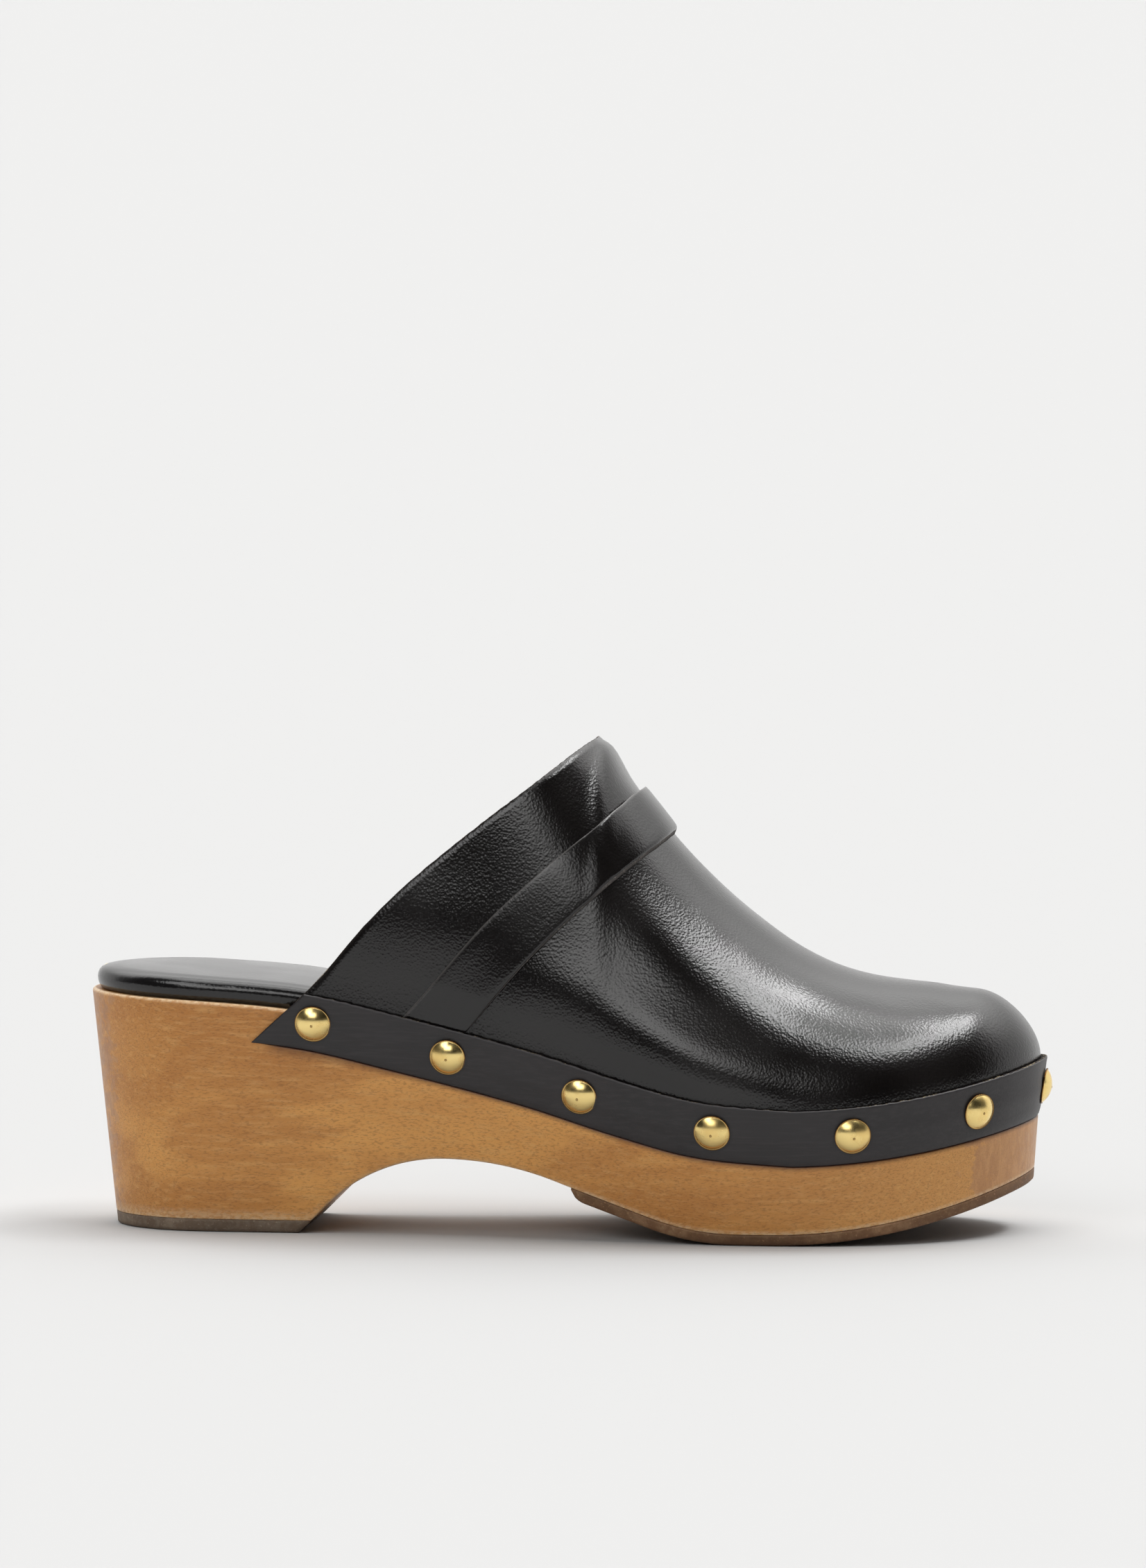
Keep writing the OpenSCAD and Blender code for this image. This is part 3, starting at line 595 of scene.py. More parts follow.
def brass():
    """Polished brass heads with faint swirl marks, darker near the rim, which is tarnish and painted shade,
    and on the centre point, which is a painted dark reflection.
    """
    s = Shader("polished_brass", Metallic=1.0)
    place = s.place()
    smears = s.noise(place, 240, 2, 0.5)
    marks = s.noise(s.place((1, 1, 0.25), (0.2, 0.6, 0.1)), 1100, 1, 0.5)
    tone = s.mix(s.span(smears, 0.4, 0.7, 0, 0.5), (0.95, 0.73, 0.30), (0.87, 0.58, 0.19))
    # Darker near the rim, from tarnish with painted shade, and a painted dark reflection on the centre
    # point.
    tone = s.mix(s.attribute("tarnish_and_painted_shade"), tone, (0.20, 0.085, 0.02))
    s.set("Base Color", tone)
    s.set("Roughness", s.span(smears, 0.3, 0.7, 0.20, 0.32))
    s.set("Normal", s.bump(marks, 0.00001, 0.15))
    return s.material


def plain(name, colour, roughness, metallic=0.0, scale=700):
    """Fibre board, foam, felt, tape or steel: one colour, broken up by a fine noise."""
    s = Shader(name, Metallic=metallic)
    fine = s.noise(s.place(), scale, 4, 0.65)
    s.set("Base Color", s.mix(s.span(fine, 0.3, 0.7), tuple(0.75 * c for c in colour), colour))
    s.set("Roughness", s.span(fine, 0.3, 0.7, roughness - 0.08, roughness + 0.08))
    s.set("Normal", s.bump(fine, 0.0002, 0.5))
    return s.material


BLACK = (0.0042, 0.0034, 0.0032)
VAMP_LEATHER = leather("black_calf", BLACK, 0.20, 1.0, edge=(0.03, 0.026, 0.024))
# On the band, edge is the pale grey of a painted highlight along its back edge.
BAND_LEATHER = leather("black_calf_band", BLACK, 0.21, 0.8, edge=(0.14, 0.13, 0.125))
CHARCOAL = (0.0105, 0.0085, 0.0092)
# On the rand, edge is the near-black of the painted shadow ring round each stud.
RAND_LEATHER = leather("charcoal_rand", CHARCOAL, 0.46, 0.5, 0.5, edge=(0.002, 0.002, 0.002))
SOCK_LEATHER = leather("black_sock", (0.006, 0.0055, 0.0057), 0.17, 0.5)
LINING_LEATHER = leather("tan_lining", (0.20, 0.115, 0.060), 0.62, 0.8)
TOPLINE_EDGE = raw_edge("topline_edge", (0.018, 0.013, 0.010), (0.34, 0.24, 0.16))
# The band's cut edges are drawn far paler than the other cut edges: raw fibres with a painted highlight.
BAND_EDGE_WITH_HIGHLIGHT = raw_edge("band_edge_with_painted_highlight", (0.10, 0.09, 0.085), (0.34, 0.31, 0.28))
RAND_EDGE = raw_edge("rand_edge", (0.022, 0.018, 0.018), (0.50, 0.40, 0.24))
WOOD = wood()
HEEL_RUBBER_LOOK = rubber("heel_rubber", (0.155, 0.108, 0.072), (0.24, 0.185, 0.135), (0.085, 0.058, 0.038))
SOLE_RUBBER_LOOK = rubber("sole_rubber", (0.200, 0.100, 0.045), (0.30, 0.175, 0.092), (0.070, 0.033, 0.014))
BRASS = brass()


# ---- Wooden sole

LONG_STEPS = 240  # stations along the shoe
ACROSS_STEPS = 14  # steps from side to side, over a flat face
ROUNDING = np.radians([30, 60, 90])  # where the points lie round a small edge
ARCH_EDGE_R = 0.8
SEAM_EDGE_R = 0.28
TOP_EDGE_R = 0.9
GROOVE_LIP = 0.15  # the wood steps in to the rebate over this height
GROOVE_SHADE = 0.65  # how far the painted shadow line under the rand reaches
PALE_RIM = 0.55  # height of the pale line along the top edge


def t_for(side, x_wanted, height):
    """The t at which the wall, at the height that its own x gives, has that x."""
    a, b = 0.0, 1.0
    for _ in range(40):
        m = (a + b) / 2
        if settle(side, np.array(m), height)[0] < x_wanted:
            a = m
        else:
            b = m
    return (a + b) / 2


def wood_stations():
    """One row of t for each side, with rows just before and after the corner under the breast."""
    ts = np.linspace(0, 1, LONG_STEPS + 1)
    sides = {OUTER: ts.copy(), INNER: ts.copy()}
    corner = BREAST_FOOT_X + HEEL_RUBBER / math.tan(BREAST)
    nearest = int(round(float(t_for(OUTER, corner, underside)) * LONG_STEPS))
    for side, row in sides.items():
        row[nearest] = t_for(side, corner - 0.15, underside)
        row[nearest + 1] = t_for(side, corner + 0.15, underside)
    return sides


def rebate_share(x, v):
    """How far the rebate has reached its depth: none at the slanted tail, all a little further on."""
    start = RAND_TAIL_X + TAIL_SLANT * v
    return ramp(start + 2, start + 9, x)


def wood_wall(side, t):
    """Columns of points up the wall, from the lower edge to the upper one, for each t."""
    x = x_at(t)
    waist = ramp(BREAST_FOOT_X, BREAST_FOOT_X + 8, x) * (1 - ramp(station(49), station(53), x))
    lower_r = SEAM_EDGE_R + (ARCH_EDGE_R - SEAM_EDGE_R) * waist
    bottom = settle(side, t, underside)[:, 2]
    groove = rand_z(x, -RAND_WIDTH / 2)
    top = wood_top(x)
    columns = []
    for a in (0, *ROUNDING):
        columns.append((bottom + lower_r * (1 - np.cos(a)), -lower_r * (1 - np.sin(a))))
    for share in np.linspace(0, 1, 18)[1:]:
        z0 = bottom + lower_r
        columns.append((z0 + (groove - 0.5 - z0) * share, 0 * x))
    for dz, depth in ((-0.2, 0.10), (0.0, 0.45), (GROOVE_LIP, REBATE)):
        columns.append((groove + dz, -depth * rebate_share(x, -RAND_WIDTH / 2)))
    for share in np.linspace(0, 1, 7)[1:]:
        z = groove + GROOVE_LIP + (top - TOP_EDGE_R - groove - GROOVE_LIP) * share
        columns.append((z, -REBATE * rebate_share(x, (z - groove) / top_stretch(x) - RAND_WIDTH / 2)))
    full = rebate_share(x, RAND_DROP)
    for a in ROUNDING:
        z = top - TOP_EDGE_R * (1 - np.sin(a))
        columns.append((z, -TOP_EDGE_R * (1 - np.cos(a)) - REBATE * full))
    z, d = (np.stack(part, 1) for part in zip(*columns))
    wobble = 0.06 * waves(x, 30, 1)[:, None] * np.ones_like(z)
    points = wall(side, t[:, None], z, d + wobble)
    # A pale line along the top edge, and a weaker one along the lower edge.
    rim = np.exp(-((top[:, None] - z) / PALE_RIM) ** 2) + 0.8 * np.exp(-((z - bottom[:, None]) / 0.5) ** 2)
    in_rand = rebate_share(x, -RAND_WIDTH / 2)[:, None]
    # Painted shadow: a dark line along the groove under the rand's lower edge.
    groove_shadow = np.exp(-((z - groove[:, None]) / GROOVE_SHADE) ** 2) * in_rand
    return points, np.clip(rim, 0, 1), groove_shadow


def between(a, b, count, height):
    """Points across the shoe from a to b, without the ends, at the height their x gives."""
    share = (np.arange(1, count) / count)[None, :, None]
    points = a[:, None] + (b - a)[:, None] * share
    points[..., 2] = height(points[..., 0])
    return points


def build_wood():
    ts = wood_stations()
    outer, rim_o, groove_shadow_o = wood_wall(OUTER, ts[OUTER])
    inner, rim_i, groove_shadow_i = wood_wall(INNER, ts[INNER])
    for row in (0, -1):
        outer[row] = inner[row] = (outer[row] + inner[row]) / 2
    top = between(outer[:, -1], inner[:, -1], ACROSS_STEPS, wood_top)
    under = between(inner[:, 0], outer[:, 0], ACROSS_STEPS, underside)
    loop = np.concatenate([outer, top, inner[:, ::-1], under], 1)
    rows, cols = loop.shape[:2]
    flat = np.zeros((rows, ACROSS_STEPS - 1))
    rim = np.concatenate([rim_o, flat, rim_i[:, ::-1], flat], 1)
    # groove here is the painted shadow line under the rand, kept in the attribute groove.
    groove = np.concatenate([groove_shadow_o, flat, groove_shadow_i[:, ::-1], flat], 1)
    x = loop[..., 0]
    toe_end = ramp(station(91), station(97), x)
    heel_end = 0.7 * (1 - ramp(station(0.5), station(6), x))
    end = np.maximum(toe_end, heel_end)
    attributes = {"rim": rim.ravel(), "groove": groove.ravel(), "end_grain": end.ravel()}
    points = loop.reshape(-1, 3)
    return make_piece("carved_sole", points, tube_faces(rows, cols), [WOOD], attributes=attributes)


# ---- Rubber under the heel and the forefoot

RUBBER_WOBBLE = 0.05
SEAM = 0.02  # the outsole starts this far below the wood
HEEL_DARK_REACH, SOLE_DARK_REACH = 0.8, 2.2  # how far up from the ground the rubber is darkened, in the attribute worn


def build_heel_rubber():
    """Flat rubber piece, its front face carrying on the slope of the breast."""
    levels = [(0.0, 0.45), (0.08, 0.18), (0.3, 0.0), (0.9, 0.0), (1.6, 0.0), (2.4, 0.0),
              (HEEL_RUBBER - 0.25, 0.0), (HEEL_RUBBER - 0.05, 0.12), (HEEL_RUBBER - 0.01, 0.35)]
    steps = 70
    rings = []
    for z, inset in levels:
        ring = []
        for side in (OUTER, INNER):
            front = BREAST_FOOT_X + z / math.tan(BREAST) - inset
            end = t_for(side, front, lambda x, z=z: z + 0 * x)
            ts = end * np.linspace(1, 0, steps) ** 1.3
            arc = wall(side, ts, np.full(steps, z), RUBBER_WOBBLE * waves(ts, 0.05, 2) - inset)
            ring.append(arc if side == OUTER else arc[::-1][1:])
        rings.append(np.concatenate(ring))
    points = np.concatenate(rings)
    faces = tube_faces(len(rings), len(rings[0]), first=True, last=True)
    worn = {"worn": np.exp(-points[:, 2] / HEEL_DARK_REACH)}
    return make_piece("heel_rubber_piece", points, faces, [HEEL_RUBBER_LOOK], attributes=worn)


TAIL_X = station(52.4)
TAIL_ROUND = 3.4
OUTSOLE_EDGE_R = 0.7


def outsole_low(x):
    """Underside of the outsole: it starts blunt and rounded at its back end."""
    u = np.clip((x - TAIL_X) / TAIL_ROUND, 0, 1)
    full = underside(x) - underside(x, SOLE_RUBBER)
    return underside(x) - full * np.sqrt(1 - (1 - u) ** 2) ** 0.8


def build_outsole():
    steps = 150
    rows = {}
    for side in (OUTER, INNER):
        start = t_for(side, TAIL_X + SEAM, underside)
        u = np.linspace(0, 1, steps)
        ts = start + (1 - start) * (0.35 * u**2 + 0.65 * u)
        upper = settle(side, ts, lambda x: underside(x) - SEAM)
        lower = settle(side, ts, outsole_low)
        z_top, z_low = upper[:, 2], lower[:, 2]
        thick = z_top - z_low
        r = np.minimum(OUTSOLE_EDGE_R, 0.45 * thick)
        spec = [(z_top, -0.30 + 0 * r), (z_top - 0.08 * thick, 0 * r)]
        spec += [(z_top - (thick - r) * s, 0 * r) for s in (0.35, 0.7, 1.0)]
        spec += [(z_low + r * (1 - math.sin(a)), -r * (1 - math.cos(a))) for a in ROUNDING]
        z, d = (np.stack(part, 1) for part in zip(*spec))
        wobble = RUBBER_WOBBLE * waves(x_at(ts), 18, 3)[:, None]
        rows[side] = wall(side, ts[:, None], z, d + wobble)
    outer, inner = rows[OUTER], rows[INNER]
    outer[-1] = inner[-1] = (outer[-1] + inner[-1]) / 2
    under = between(outer[:, -1], inner[:, -1], ACROSS_STEPS, outsole_low)
    top = between(inner[:, 0], outer[:, 0], ACROSS_STEPS, lambda x: underside(x) - SEAM)
    loop = np.concatenate([outer, under, inner[:, ::-1], top], 1)
    faces = tube_faces(*loop.shape[:2], first=True)
    points = loop.reshape(-1, 3)
    worn = {"worn": np.exp(-points[:, 2] / SOLE_DARK_REACH)}
    return make_piece("forefoot_rubber", points, faces, [SOLE_RUBBER_LOOK], attributes=worn)


# ---- Footbed

HEEL_MARGIN = 1.8  # wood that shows round the footbed at the heel
UPPER_STACK = VAMP_T + LINING_T + 1.6  # room for the upper's layers, further forward
FOOTBED_FRONT_T = 0.985
PILLOW = [  # (set in from the edge, height over the wood), from the tucked-in lower edge to the top
    (0.75, 0.05), (0.35, 0.45), (0.02, 1.2), (-0.14, 2.1), (-0.12, 3.0), (0.08, 3.9), (0.5, 4.7),
    (1.15, 5.35), (2.1, 5.82), (3.4, 6.12), (5.2, 6.36),
]


def build_footbed():
    steps = 200
    t = np.linspace(0, FOOTBED_FRONT_T, steps)
    x = x_at(t)
    margin = HEEL_MARGIN + UPPER_STACK * ramp(station(20), station(34), x)
    puff = 0.99 + 0.01 * waves(x, 40, 4)
    sides = {}
    for side in (OUTER, INNER):
        columns = []
        for inset, h in PILLOW:
            soft = 0.10 * waves(x + 37 * side, 22, 5) * min(1.0, h / 3)
            columns.append(wall(side, t, wood_top(x) + h * puff, -(margin + inset) + soft))
        sides[side] = np.stack(columns, 1)
    outer, inner = sides[OUTER], sides[INNER]
    outer[0] = inner[0] = (outer[0] + inner[0]) / 2
    across = 30
    share = (np.arange(1, across) / across)[None, :, None]
    top = outer[:, -1:] + (inner[:, -1:] - outer[:, -1:]) * share
    crown = (1 - np.abs(2 * share[..., 0] - 1) ** 2.2) * (FOOTBED_T - PILLOW[-1][1])
    width = np.abs(inner[:, -1, 1] - outer[:, -1, 1])[:, None]
    top[..., 2] += crown * np.clip(width / 40, 0, 1)
    loop = np.concatenate([outer, top, inner[:, ::-1]], 1)
    faces = tube_faces(*loop.shape[:2], last=True)
    return make_piece("footbed_sock", loop.reshape(-1, 3), faces, [SOCK_LEATHER])


# ---- Upper

BAND_PHI = np.linspace(0, 180, 61)
BAND_MIDDLE_X = (crossing(BAND_BACK, BAND_PHI) + crossing(BAND_FRONT, BAND_PHI)) / 2
BAND_HOLD = 0.6  # share of the swell that the band takes away
BAND_REACH = 11
BAND_WIDTH = 14
VAMP_TUCK = 10.5  # the vamp's edge goes this far down behind the rand
LINING_GAP = 0.25
LINING_BACK = 0.35  # the lining stops this far inside the topline
PUFF_T = 0.7  # room for the puff, which starts at PUFF_X
PUFF_X = station(80) - 12
CUT_ROUGHNESS = 0.10
SWELL = 1.5  # how far the sides swell out between the throat and the ball
SWELL_PHI = 12  # degrees up the side where they swell most
SWELL_SPREAD = 9
DENTS = 0.28
FOOT_PHI = 7  # the swell starts at the rand and is full from here up


def side_swell(x, phi):
    """The leather swells low on the sides, and less where the band holds it in."""
    up_the_side = np.minimum(phi, 180 - phi)
    low_down = np.exp(-(((up_the_side - SWELL_PHI) / SWELL_SPREAD) ** 2)) * ramp(0, FOOT_PHI, up_the_side)
    band_x = np.interp(phi, BAND_PHI, BAND_MIDDLE_X)
    held_in = BAND_HOLD * np.exp(-(((x - band_x) / BAND_REACH) ** 2))
    return SWELL * low_down * (1 - held_in) * (1 - ramp(station(62), station(80), x))


def upper_dents(x, phi):
    """Soft unevenness of worked leather, and its swell, in millimetres along the normal."""
    a = np.radians(phi)
    flank = np.sin(a) ** 2
    soft = DENTS * waves(x + 14 * np.sin(a), 46, 6) * waves(30 * a + 0.2 * x, 34, 7)
    return soft * flank * ramp(0, 12, TOE_TIP - x) + side_swell(x, phi)


def throat_starts(phi, d, jitter=0.0):
    """Where the topline crosses each line up the side, with a little roughness of the cut."""
    start = crossing(THROAT_LINE, phi, d)
    return start + jitter * (waves(phi, 40, 8) + 0.6 * waves(phi, 3.0, 9))


def vamp_sheet(rows, cols, d):
    """Rows from the throat to the toe, columns over the ridge, and a tucked-down edge on each side."""
    phi = 180 * np.linspace(0, 1, cols)
    starts = throat_starts(phi, d, CUT_ROUGHNESS)
    share = np.linspace(0, 1, rows)[:, None]
    x = starts + (TOE_TIP - starts) * np.sin(np.pi / 2 * share)
    body = upper_point(x, phi, d + upper_dents(x, phi[None, :]))
    low_x = x[:, 0] - 0.9 * VAMP_TUCK * (1 - share[:, 0])
    low_z = feather_z(low_x) - VAMP_TUCK
    outer, inner = [wall(side, t_at(low_x), low_z, d - FEATHER_INSET)[:, None] for side in (OUTER, INNER)]
    outer_half = (outer + body[:, :1]) / 2
    inner_half = (inner + body[:, -1:]) / 2
    return np.concatenate([outer, outer_half, body, inner_half, inner], 1)


def rim_between(first_top, second_top, first_bottom, bulge, steps=4):
    """Rows round a cut edge, from the outer sheet's first row to the inner sheet's."""
    back = first_top - second_top
    back /= np.maximum(np.linalg.norm(back, axis=-1, keepdims=True), 1e-9)
    rows = []
    for k in range(1, steps):
        w = k / steps
        rows.append(first_top * (1 - w) + first_bottom * w + back * bulge * math.sin(math.pi * w))
    return np.array(rows)


def build_vamp():
    """The leather of the upper, with the distance to its raw topline in the attribute edge."""
    cols = 181
    top = vamp_sheet(150, cols, 0.0)
    bottom = vamp_sheet(60, cols, -VAMP_T)
    rim = rim_between(top[0], top[2], bottom[0], 0.16)
    points, faces, slots = sheet_pair(top, bottom, rim)
    from_edge = np.concatenate([(top - top[0])[::-1], 0 * rim, bottom - bottom[0]])
    edge = np.linalg.norm(from_edge, axis=-1).ravel()
    return make_piece("vamp_shell", points, faces, [VAMP_LEATHER, TOPLINE_EDGE], slots, {"edge": edge})


def build_lining():
    """Thin leather inside the vamp, which makes room for the puff at the toe."""
    rows, cols = 80, 121
    outer_d = -(VAMP_T + LINING_GAP)
    phi = 180 * np.linspace(0, 1, cols)
    starts = throat_starts(phi, outer_d) + LINING_BACK
    share = np.linspace(0, 1, rows)[:, None]
    x = starts + (TOE_TIP - starts) * np.sin(np.pi / 2 * share)
    outer_d = outer_d - PUFF_T * ramp(PUFF_X, PUFF_X + 11, x)
    top = upper_point(x, phi, outer_d)
    bottom = upper_point(x, phi, outer_d - LINING_T)
    rim = rim_between(top[0], top[2], bottom[0], 0.1)
    points, faces, slots = sheet_pair(top, bottom, rim)
    return make_piece("upper_lining_sheet", points, faces, [LINING_LEATHER, TOPLINE_EDGE], slots)


def build_band():
    """A band laid over the instep, with rounded edges and its ends pared down under the rand.

    The section is (share of the width, share of the thickness), from the back edge to the front one.
    """
    cols = 220
    phi = 180 * np.linspace(0, 1, cols)
    backs = crossing(BAND_BACK, phi) + 0.12 * waves(phi, 60, 10)
    fronts = crossing(BAND_FRONT, phi) + 0.12 * waves(phi, 55, 11)
    pared = np.minimum(1, 0.3 + np.sin(np.radians(phi)) * 7)
    section = [(0.0, 0.0), (-0.004, 0.35), (0.0, 0.72), (0.012, 0.9), (0.035, 0.985), (0.08, 1.02)]
    section += [(s, 1.03 + 0.10 * math.sin(math.pi * s)) for s in np.linspace(0.16, 0.84, 9)]
    section += [(0.92, 1.02), (0.965, 0.985), (0.988, 0.9), (1.0, 0.72), (1.004, 0.35), (1.0, 0.0)]
    slope = (curve(RIDGE, backs + 1) - curve(RIDGE, backs - 1)) / 2
    lean = -slope / np.sqrt(1 + slope**2) * np.sin(np.radians(phi))
    rows = []
    for share, lift in section:
        d = 0.05 + BAND_T * lift * pared
        x = backs + (fronts - backs) * share
        point = upper_point(x, phi, d + upper_dents(x, phi))
        point[:, 0] += 0.75 * lean * BAND_T * lift
        rows.append(point)
    under = [upper_point(backs + (fronts - backs) * s, phi, 0.03) for s in (0.75, 0.5, 0.25)]
    loop = np.array(rows + under)
    n = len(loop)
    faces = grid_faces(n, cols).tolist()
    faces += [[(n - 1) * cols + j, (n - 1) * cols + j + 1, j + 1, j] for j in range(cols - 1)]
    faces += [[i * cols + j for i in range(n)] for j in (0, cols - 1)]
    slots = np.zeros(len(faces), int)
    for i in (0, 1, len(section) - 3, len(section) - 2):
        slots[i * (cols - 1):(i + 1) * (cols - 1)] = 1
    # Painted highlight: the band is drawn pale along its back edge, where its rounded edge would catch the
    # light.
    highlight_from_back = BAND_WIDTH * np.abs([s for s, _ in section] + [0.5] * len(under))
    marks = {"edge": np.repeat(highlight_from_back, cols)}
    return make_piece("instep_strap", loop.reshape(-1, 3), faces, [BAND_LEATHER, BAND_EDGE_WITH_HIGHLIGHT], slots, marks)


# ---- Rand and studs


FIRST_STUD_X = station(25.2)
STUD_TILT = 5  # degrees that the studs face down, beyond the wall's own lean


def rand_runs(side, steps=400):
    """Length along the rand from the first stud to the toe, and the t that belongs to it."""
    first = float(t_at(FIRST_STUD_X))
    t = np.linspace(first, 1, steps)
    p = rand_point(side, t, 0.0, RAND_LIFT)
    run = np.concatenate([[0], np.cumsum(np.linalg.norm(np.diff(p, axis=0), axis=1))])
    return run, t


def stud_places():
    """(side, t) of each stud, at an even pitch round the rand."""
    places = []
    for side in (OUTER, INNER):
        run, t = rand_runs(side)
        for k in range(STUDS_PER_SIDE):
            places.append((side, float(np.interp(run[-1] * k / STUDS_PER_SIDE, run, t))))
    places.append((OUTER, 1.0))
    return places


def stud_frame(side, t):
    """Centre of a stud's seat, its outward direction, and two directions across it."""
    nx, ny = edge_normal(side, np.array(t))
    lean = math.radians(float(curve(WALL_LEAN, x_at(t))) + STUD_TILT)
    out = np.array([nx * math.cos(lean), ny * math.cos(lean), -math.sin(lean)])
    along = np.cross([0, 0, 1], out)
    along /= np.linalg.norm(along)
    up = np.cross(out, along)
    return rand_point(side, np.array(t), 0.0, RAND_LIFT), out, along, up


STUDS = stud_places()
PRESSED_IN = 0.30  # how far a stud draws the leather in
PRESSED_R = 5.6
SHADOW_RING_R, SHADOW_RING_WIDTH = 4.9, 0.55  # the painted shadow line round a stud
SUNK_IN = 0.12  # and how far its own rim sinks into it
SHANK_R = 0.9
SHANK_LENGTH = 13


def rand_section():
    """(v, d, raw) round the rand: lower edge in the rebate, face, raw top edge and back.

    v is counted from its middle line and d from the wood. raw is 1 where the leather is cut.
    """
    half = RAND_WIDTH / 2
    face = [(-half + 0.02, -0.28, 0), (-half + 0.12, 0.02, 0), (-half + 0.4, 0.2, 0), (-half + 1.4, 0.46, 0)]
    for v in np.linspace(-4.8, 5.6, 22):
        over_the_vamp = float(ramp(-6, 0.5, v))
        face.append((v, 0.62 + 0.62 * over_the_vamp + 0.04 * math.cos(v), 0))
    face += [(half - 0.9, 1.34, 0), (half - 0.4, 1.36, 0), (half - 0.12, 1.27, 0)]
    edge = [(half + 0.02, 1.05, 1), (half + 0.05, 0.75, 1), (half + 0.03, 0.45, 1), (half - 0.05, 0.15, 1)]
    back = [(half - 0.3, 0.0, 0), (half - 2, -0.1, 0), (0, -0.12, 0), (-half + 3.8, -0.15, 0)]
    back += [(-half + 3.6, -REBATE + 0.05, 0), (-half + 0.05, -REBATE + 0.05, 1)]
    return face + edge + back


def build_rand():
    """The strip round the upper's foot, pressed in a little round each stud, with a painted shadow ring
    there.
    """
    steps = 330
    first = float(t_at(RAND_TAIL_X + 0.3))
    one_side = first + (1 - first) * np.linspace(0, 1, steps)
    side = np.repeat([OUTER, INNER], [steps, steps - 1])
    t = np.concatenate([one_side, one_side[-2::-1]])
    v, d, raw = np.array(rand_section()).T
    along = np.arange(len(t))
    soft = 0.07 * waves(along, 60, 12)[:, None] * np.clip(d[None, :], 0, 1)
    frayed = 0.10 * waves(along, 5, 13)[:, None] * raw[None, :] * (v[None, :] > 0)
    points = rand_point(side[:, None], t[:, None], v[None, :] + frayed, d[None, :] + soft)
    flat = points.reshape(-1, 3)
    stud_shadow_ring = np.zeros(len(flat))
    for stud in STUDS:
        seat, out, _, _ = stud_frame(*stud)
        offset = flat - seat
        radial = np.linalg.norm(offset - np.outer(offset @ out, out), axis=1)
        facing = np.clip(1 + offset @ out / 1.5, 0, 1) * (np.abs(offset @ out) < 4)
        flat -= np.outer(PRESSED_IN * np.exp(-((radial / PRESSED_R) ** 4)) * facing, out)
        stud_shadow_ring = np.maximum(stud_shadow_ring, np.exp(-(((radial - SHADOW_RING_R) / SHADOW_RING_WIDTH) ** 2)) * facing)
    rows, cols = points.shape[:2]
    faces = tube_faces(rows, cols, first=True, last=True)
    slots = np.concatenate([np.tile(raw, rows - 1), [1, 1]])
    # The attribute edge here falls to 0 in the painted shadow ring round each stud.
    marks = {"edge": 1 - stud_shadow_ring}
    return make_piece("rand_leather_strip", flat, faces, [RAND_LEATHER, RAND_EDGE], slots, marks)


def build_studs():
    """Domed nail heads with a rolled rim and a tiny point at the centre, on pointed shanks."""
    dome_r = (STUD_R**2 + STUD_RISE**2) / (2 * STUD_RISE)
    full = math.asin(STUD_R / dome_r)
    shank = [(0.0, -SHANK_LENGTH), (SHANK_R, 3 - SHANK_LENGTH), (SHANK_R, -0.1)]
    rim = [(STUD_R - 0.7, -0.1), (STUD_R - 0.2, -0.06), (STUD_R + 0.03, 0.12), (STUD_R, 0.36)]
    profile = [*shank, *rim]
    for share in np.linspace(0.95, 0.08, 16):
        a = full * share
        profile.append((dome_r * math.sin(a), STUD_RISE - dome_r * (1 - math.cos(a))))
    profile += [(r, STUD_RISE + z) for r, z in ((0.38, -0.01), (0.30, 0.05), (0.16, 0.09), (0.0, 0.1))]
    turns = 56
    angles = 2 * np.pi * np.arange(turns) / turns
    points, faces, tarnish_and_painted_shade = [], [], []
    marks = []
    # Dark share of each profile point: tarnish and painted shade at the rim, a painted dark reflection on
    # the centre point.
    for r, z in profile:
        on_the_point = 0 < r < 0.35 and z > 0
        marks.append(math.exp(-((r - STUD_R) / 0.28) ** 2) + (0.8 if on_the_point else 0))
    for number, stud in enumerate(STUDS):
        seat, out, across, up = stud_frame(*stud)
        base = number * len(profile) * turns
        circle = np.outer(np.cos(angles), across) + np.outer(np.sin(angles), up)
        for (r, z), mark in zip(profile, marks):
            points.append(seat + out * (z - SUNK_IN) + r * circle)
            tarnish_and_painted_shade.append(np.full(turns, min(1.0, mark)))
        faces.append(grid_faces(len(profile), turns, wrap=True) + base)
    points = np.concatenate(points)
    faces = np.concatenate(faces)
    return make_piece("brass_studs", points, faces, [BRASS], attributes={"tarnish_and_painted_shade": np.concatenate(tarnish_and_painted_shade)})


# ---- Put the pieces on the frame


def place_piece(piece, node):
    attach(piece, "root")
    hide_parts(node)
    return piece


place_piece(build_wood(), "wood_sole")
place_piece(build_heel_rubber(), "heel_top_piece")
place_piece(build_outsole(), "forefoot_outsole")
footbed = place_piece(build_footbed(), "footbed_cover")
place_piece(build_vamp(), "vamp")
place_piece(build_lining(), "upper_lining")
place_piece(build_band(), "instep_band")
place_piece(build_rand(), "rand_strip")
place_piece(build_studs(), "rand_studs")

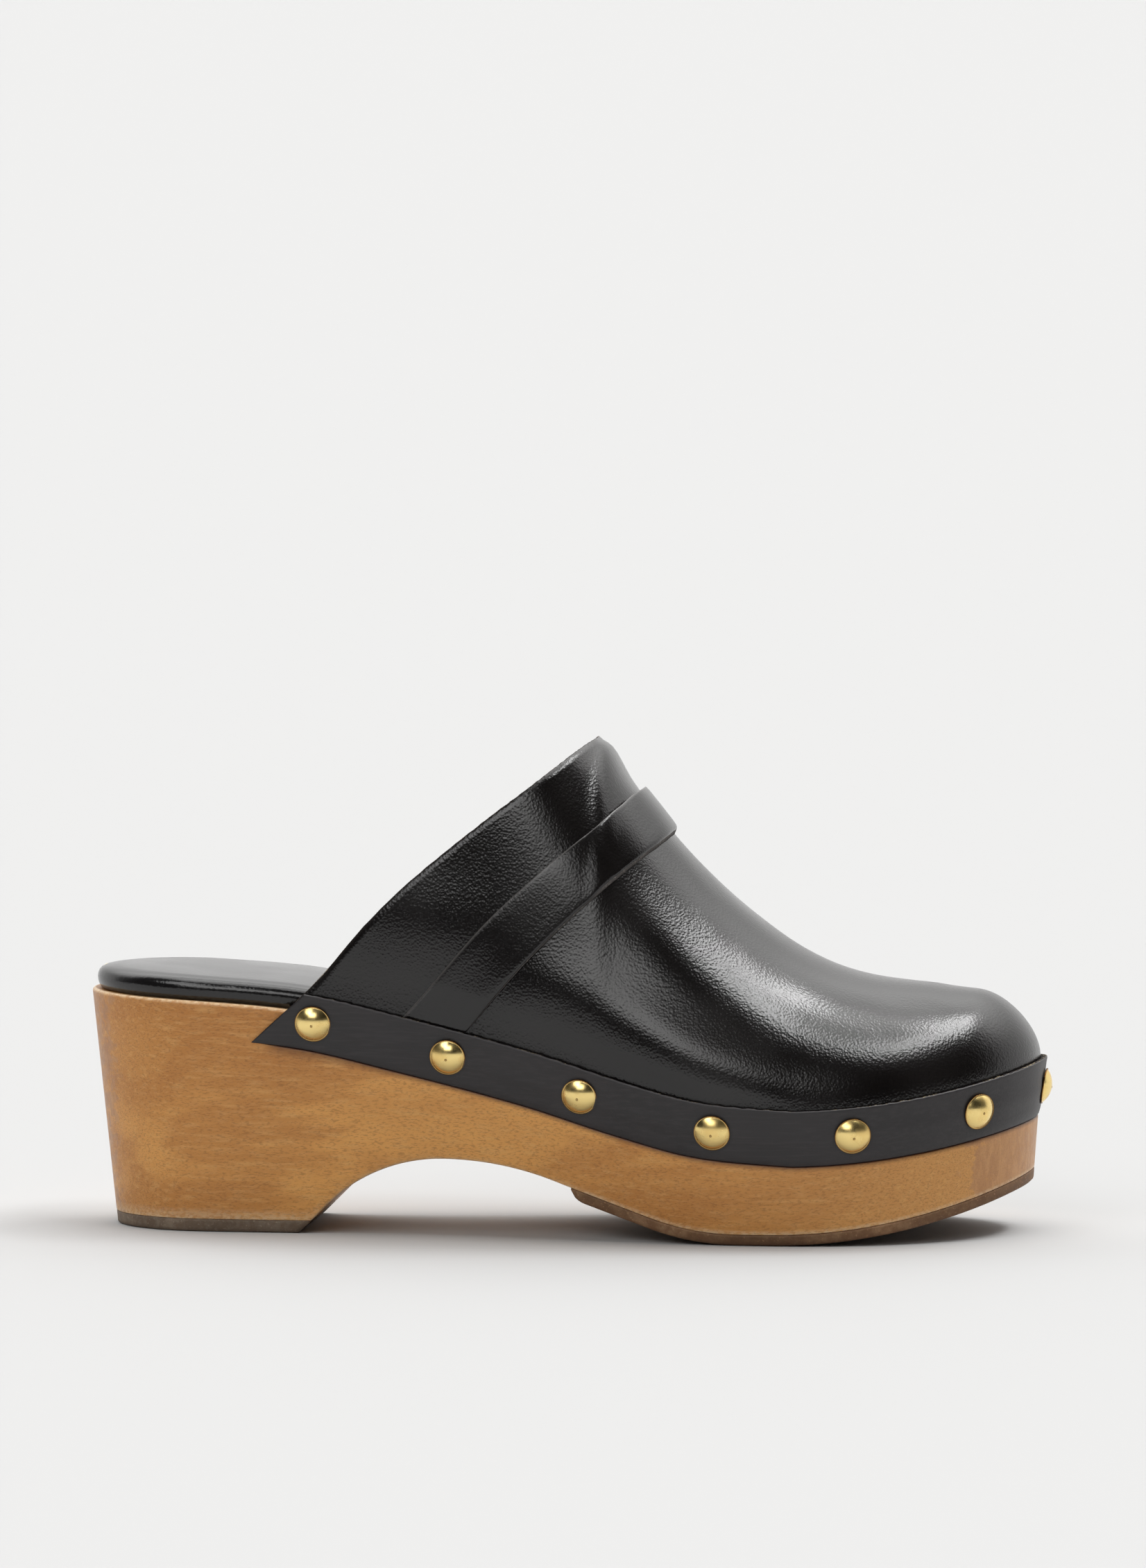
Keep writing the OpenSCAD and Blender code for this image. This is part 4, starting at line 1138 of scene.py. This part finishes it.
HIDDEN_LOOKS = {
    "heel_nails": plain("nail_steel", (0.46, 0.45, 0.43), 0.4, 1.0, 1800),
    "outsole_tacks": plain("tack_steel", (0.46, 0.45, 0.43), 0.4, 1.0, 1800),
    "lasting_tacks": plain("lasting_steel", (0.40, 0.39, 0.38), 0.45, 1.0, 1800),
    "insole_board": plain("fibre_board", (0.36, 0.27, 0.17), 0.85),
    "footbed_foam": plain("footbed_foam_look", (0.70, 0.64, 0.42), 0.9),
    "toe_puff": plain("puff_felt", (0.60, 0.55, 0.44), 0.9),
    "topline_tape": plain("woven_tape", (0.60, 0.56, 0.50), 0.85, 0.0, 2400),
}
for node_name, look in HIDDEN_LOOKS.items():
    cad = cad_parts[node_name]
    cad.data.materials.clear()
    cad.data.materials.append(look)


# ---- Floor, light and camera


def build_floor():
    """A pale matt table under the shoe and far behind it."""
    mesh = bpy.data.meshes.new("floor")
    reach = 60.0
    front = -1.2  # the pale table ends here, and the dark studio begins
    level = CAD_BOX[0].z - 0.0001
    corners = [(-reach, front, level), (reach, front, level), (reach, reach, level), (-reach, reach, level)]
    mesh.from_pydata(corners, [], [(0, 1, 2, 3)])
    s = Shader("pale_floor", Roughness=0.9, Specular_IOR_Level=0.1)
    s.set("Base Color", (0.474, 0.474, 0.4735))
    mesh.materials.append(s.material)
    floor = bpy.data.objects.new("floor", mesh)
    bpy.context.scene.collection.objects.link(floor)


def build_world():
    """White wall behind the shoe, dark studio on the camera's side, soft light from above."""
    world = bpy.data.worlds.new("studio")
    world.use_nodes = True
    w = Nodes(world.node_tree)
    background = w.tree.nodes["Background"]
    direction = w.node("ShaderNodeTexCoord").outputs["Generated"]
    x, y, z = w.node("ShaderNodeSeparateXYZ", {0: direction}).outputs
    behind = w.span(y, -0.05, 0.35, 0.015, 0.905)
    above = w.span(z, 0.89, 0.97, 0, 2.6)
    high_behind = w.math("MULTIPLY", w.span(y, 0, 0.4, 0, 1.5), w.span(z, 0.35, 0.75))
    box_wide = w.math("MULTIPLY", w.span(x, -0.50, -0.34), w.span(x, 0, 0.24, 1, 0))
    box_high = w.math("MULTIPLY", w.span(z, 0.20, 0.36), w.span(z, 0.50, 0.66, 1, 0))
    in_front = w.span(y, -0.2, 0, 3.2, 0)
    soft_box = w.math("MULTIPLY", w.math("MULTIPLY", box_wide, box_high), in_front)
    light = w.math("ADD", w.math("ADD", behind, above), w.math("ADD", high_behind, soft_box))
    w.feed(background.inputs["Strength"], light)
    w.feed(background.inputs["Color"], (1.0, 0.995, 0.985))
    bpy.context.scene.world = world


def toward(azimuth, elevation):
    """Direction away from the shoe. Azimuth 0 is the outer side, 90 degrees the toe's."""
    level = math.cos(elevation)
    return Vector((math.sin(azimuth) * level, -math.cos(azimuth) * level, math.sin(elevation)))


def add_sun(name, azimuth, elevation, strength, spread):
    """Soft light as if from a large far-off panel, with its place and spread in degrees."""
    data = bpy.data.lights.new(name, "SUN")
    data.energy = strength
    data.angle = math.radians(spread)
    lamp = bpy.data.objects.new(name, data)
    back = toward(math.radians(azimuth), math.radians(elevation))
    lamp.rotation_mode = "QUATERNION"
    lamp.rotation_quaternion = back.to_track_quat("Z", "Y")
    bpy.context.scene.collection.objects.link(lamp)


CAMERA_YAW = math.radians(7)
CAMERA_ELEVATION = math.radians(5.5)
CAMERA_DISTANCE = 3.2
CAMERA_LENS = 278.2
AIM_ABOVE = math.radians(0.99)  # the shoe sits this far below the middle of the picture
TARGET = Vector((0.65, 0, 61.7)) * MM


def add_camera():
    data = bpy.data.cameras.new("camera")
    data.lens = CAMERA_LENS
    data.sensor_width = 36
    data.clip_end = 200
    camera = bpy.data.objects.new("camera", data)
    camera.location = TARGET + toward(CAMERA_YAW, CAMERA_ELEVATION) * CAMERA_DISTANCE
    forward = -toward(CAMERA_YAW, CAMERA_ELEVATION - AIM_ABOVE)
    camera.rotation_mode = "QUATERNION"
    camera.rotation_quaternion = forward.to_track_quat("-Z", "Y")
    bpy.context.scene.collection.objects.link(camera)
    bpy.context.scene.camera = camera


build_floor()
build_world()
for panel_azimuth in (55, 80, 105, 130):
    add_sun(f"toe_strip_{panel_azimuth}", panel_azimuth, 61, 0.46, 13)
add_sun("heel_panel", -35, 42, 0.60, 30)
add_camera()
bpy.context.scene.view_settings.view_transform = "Standard"
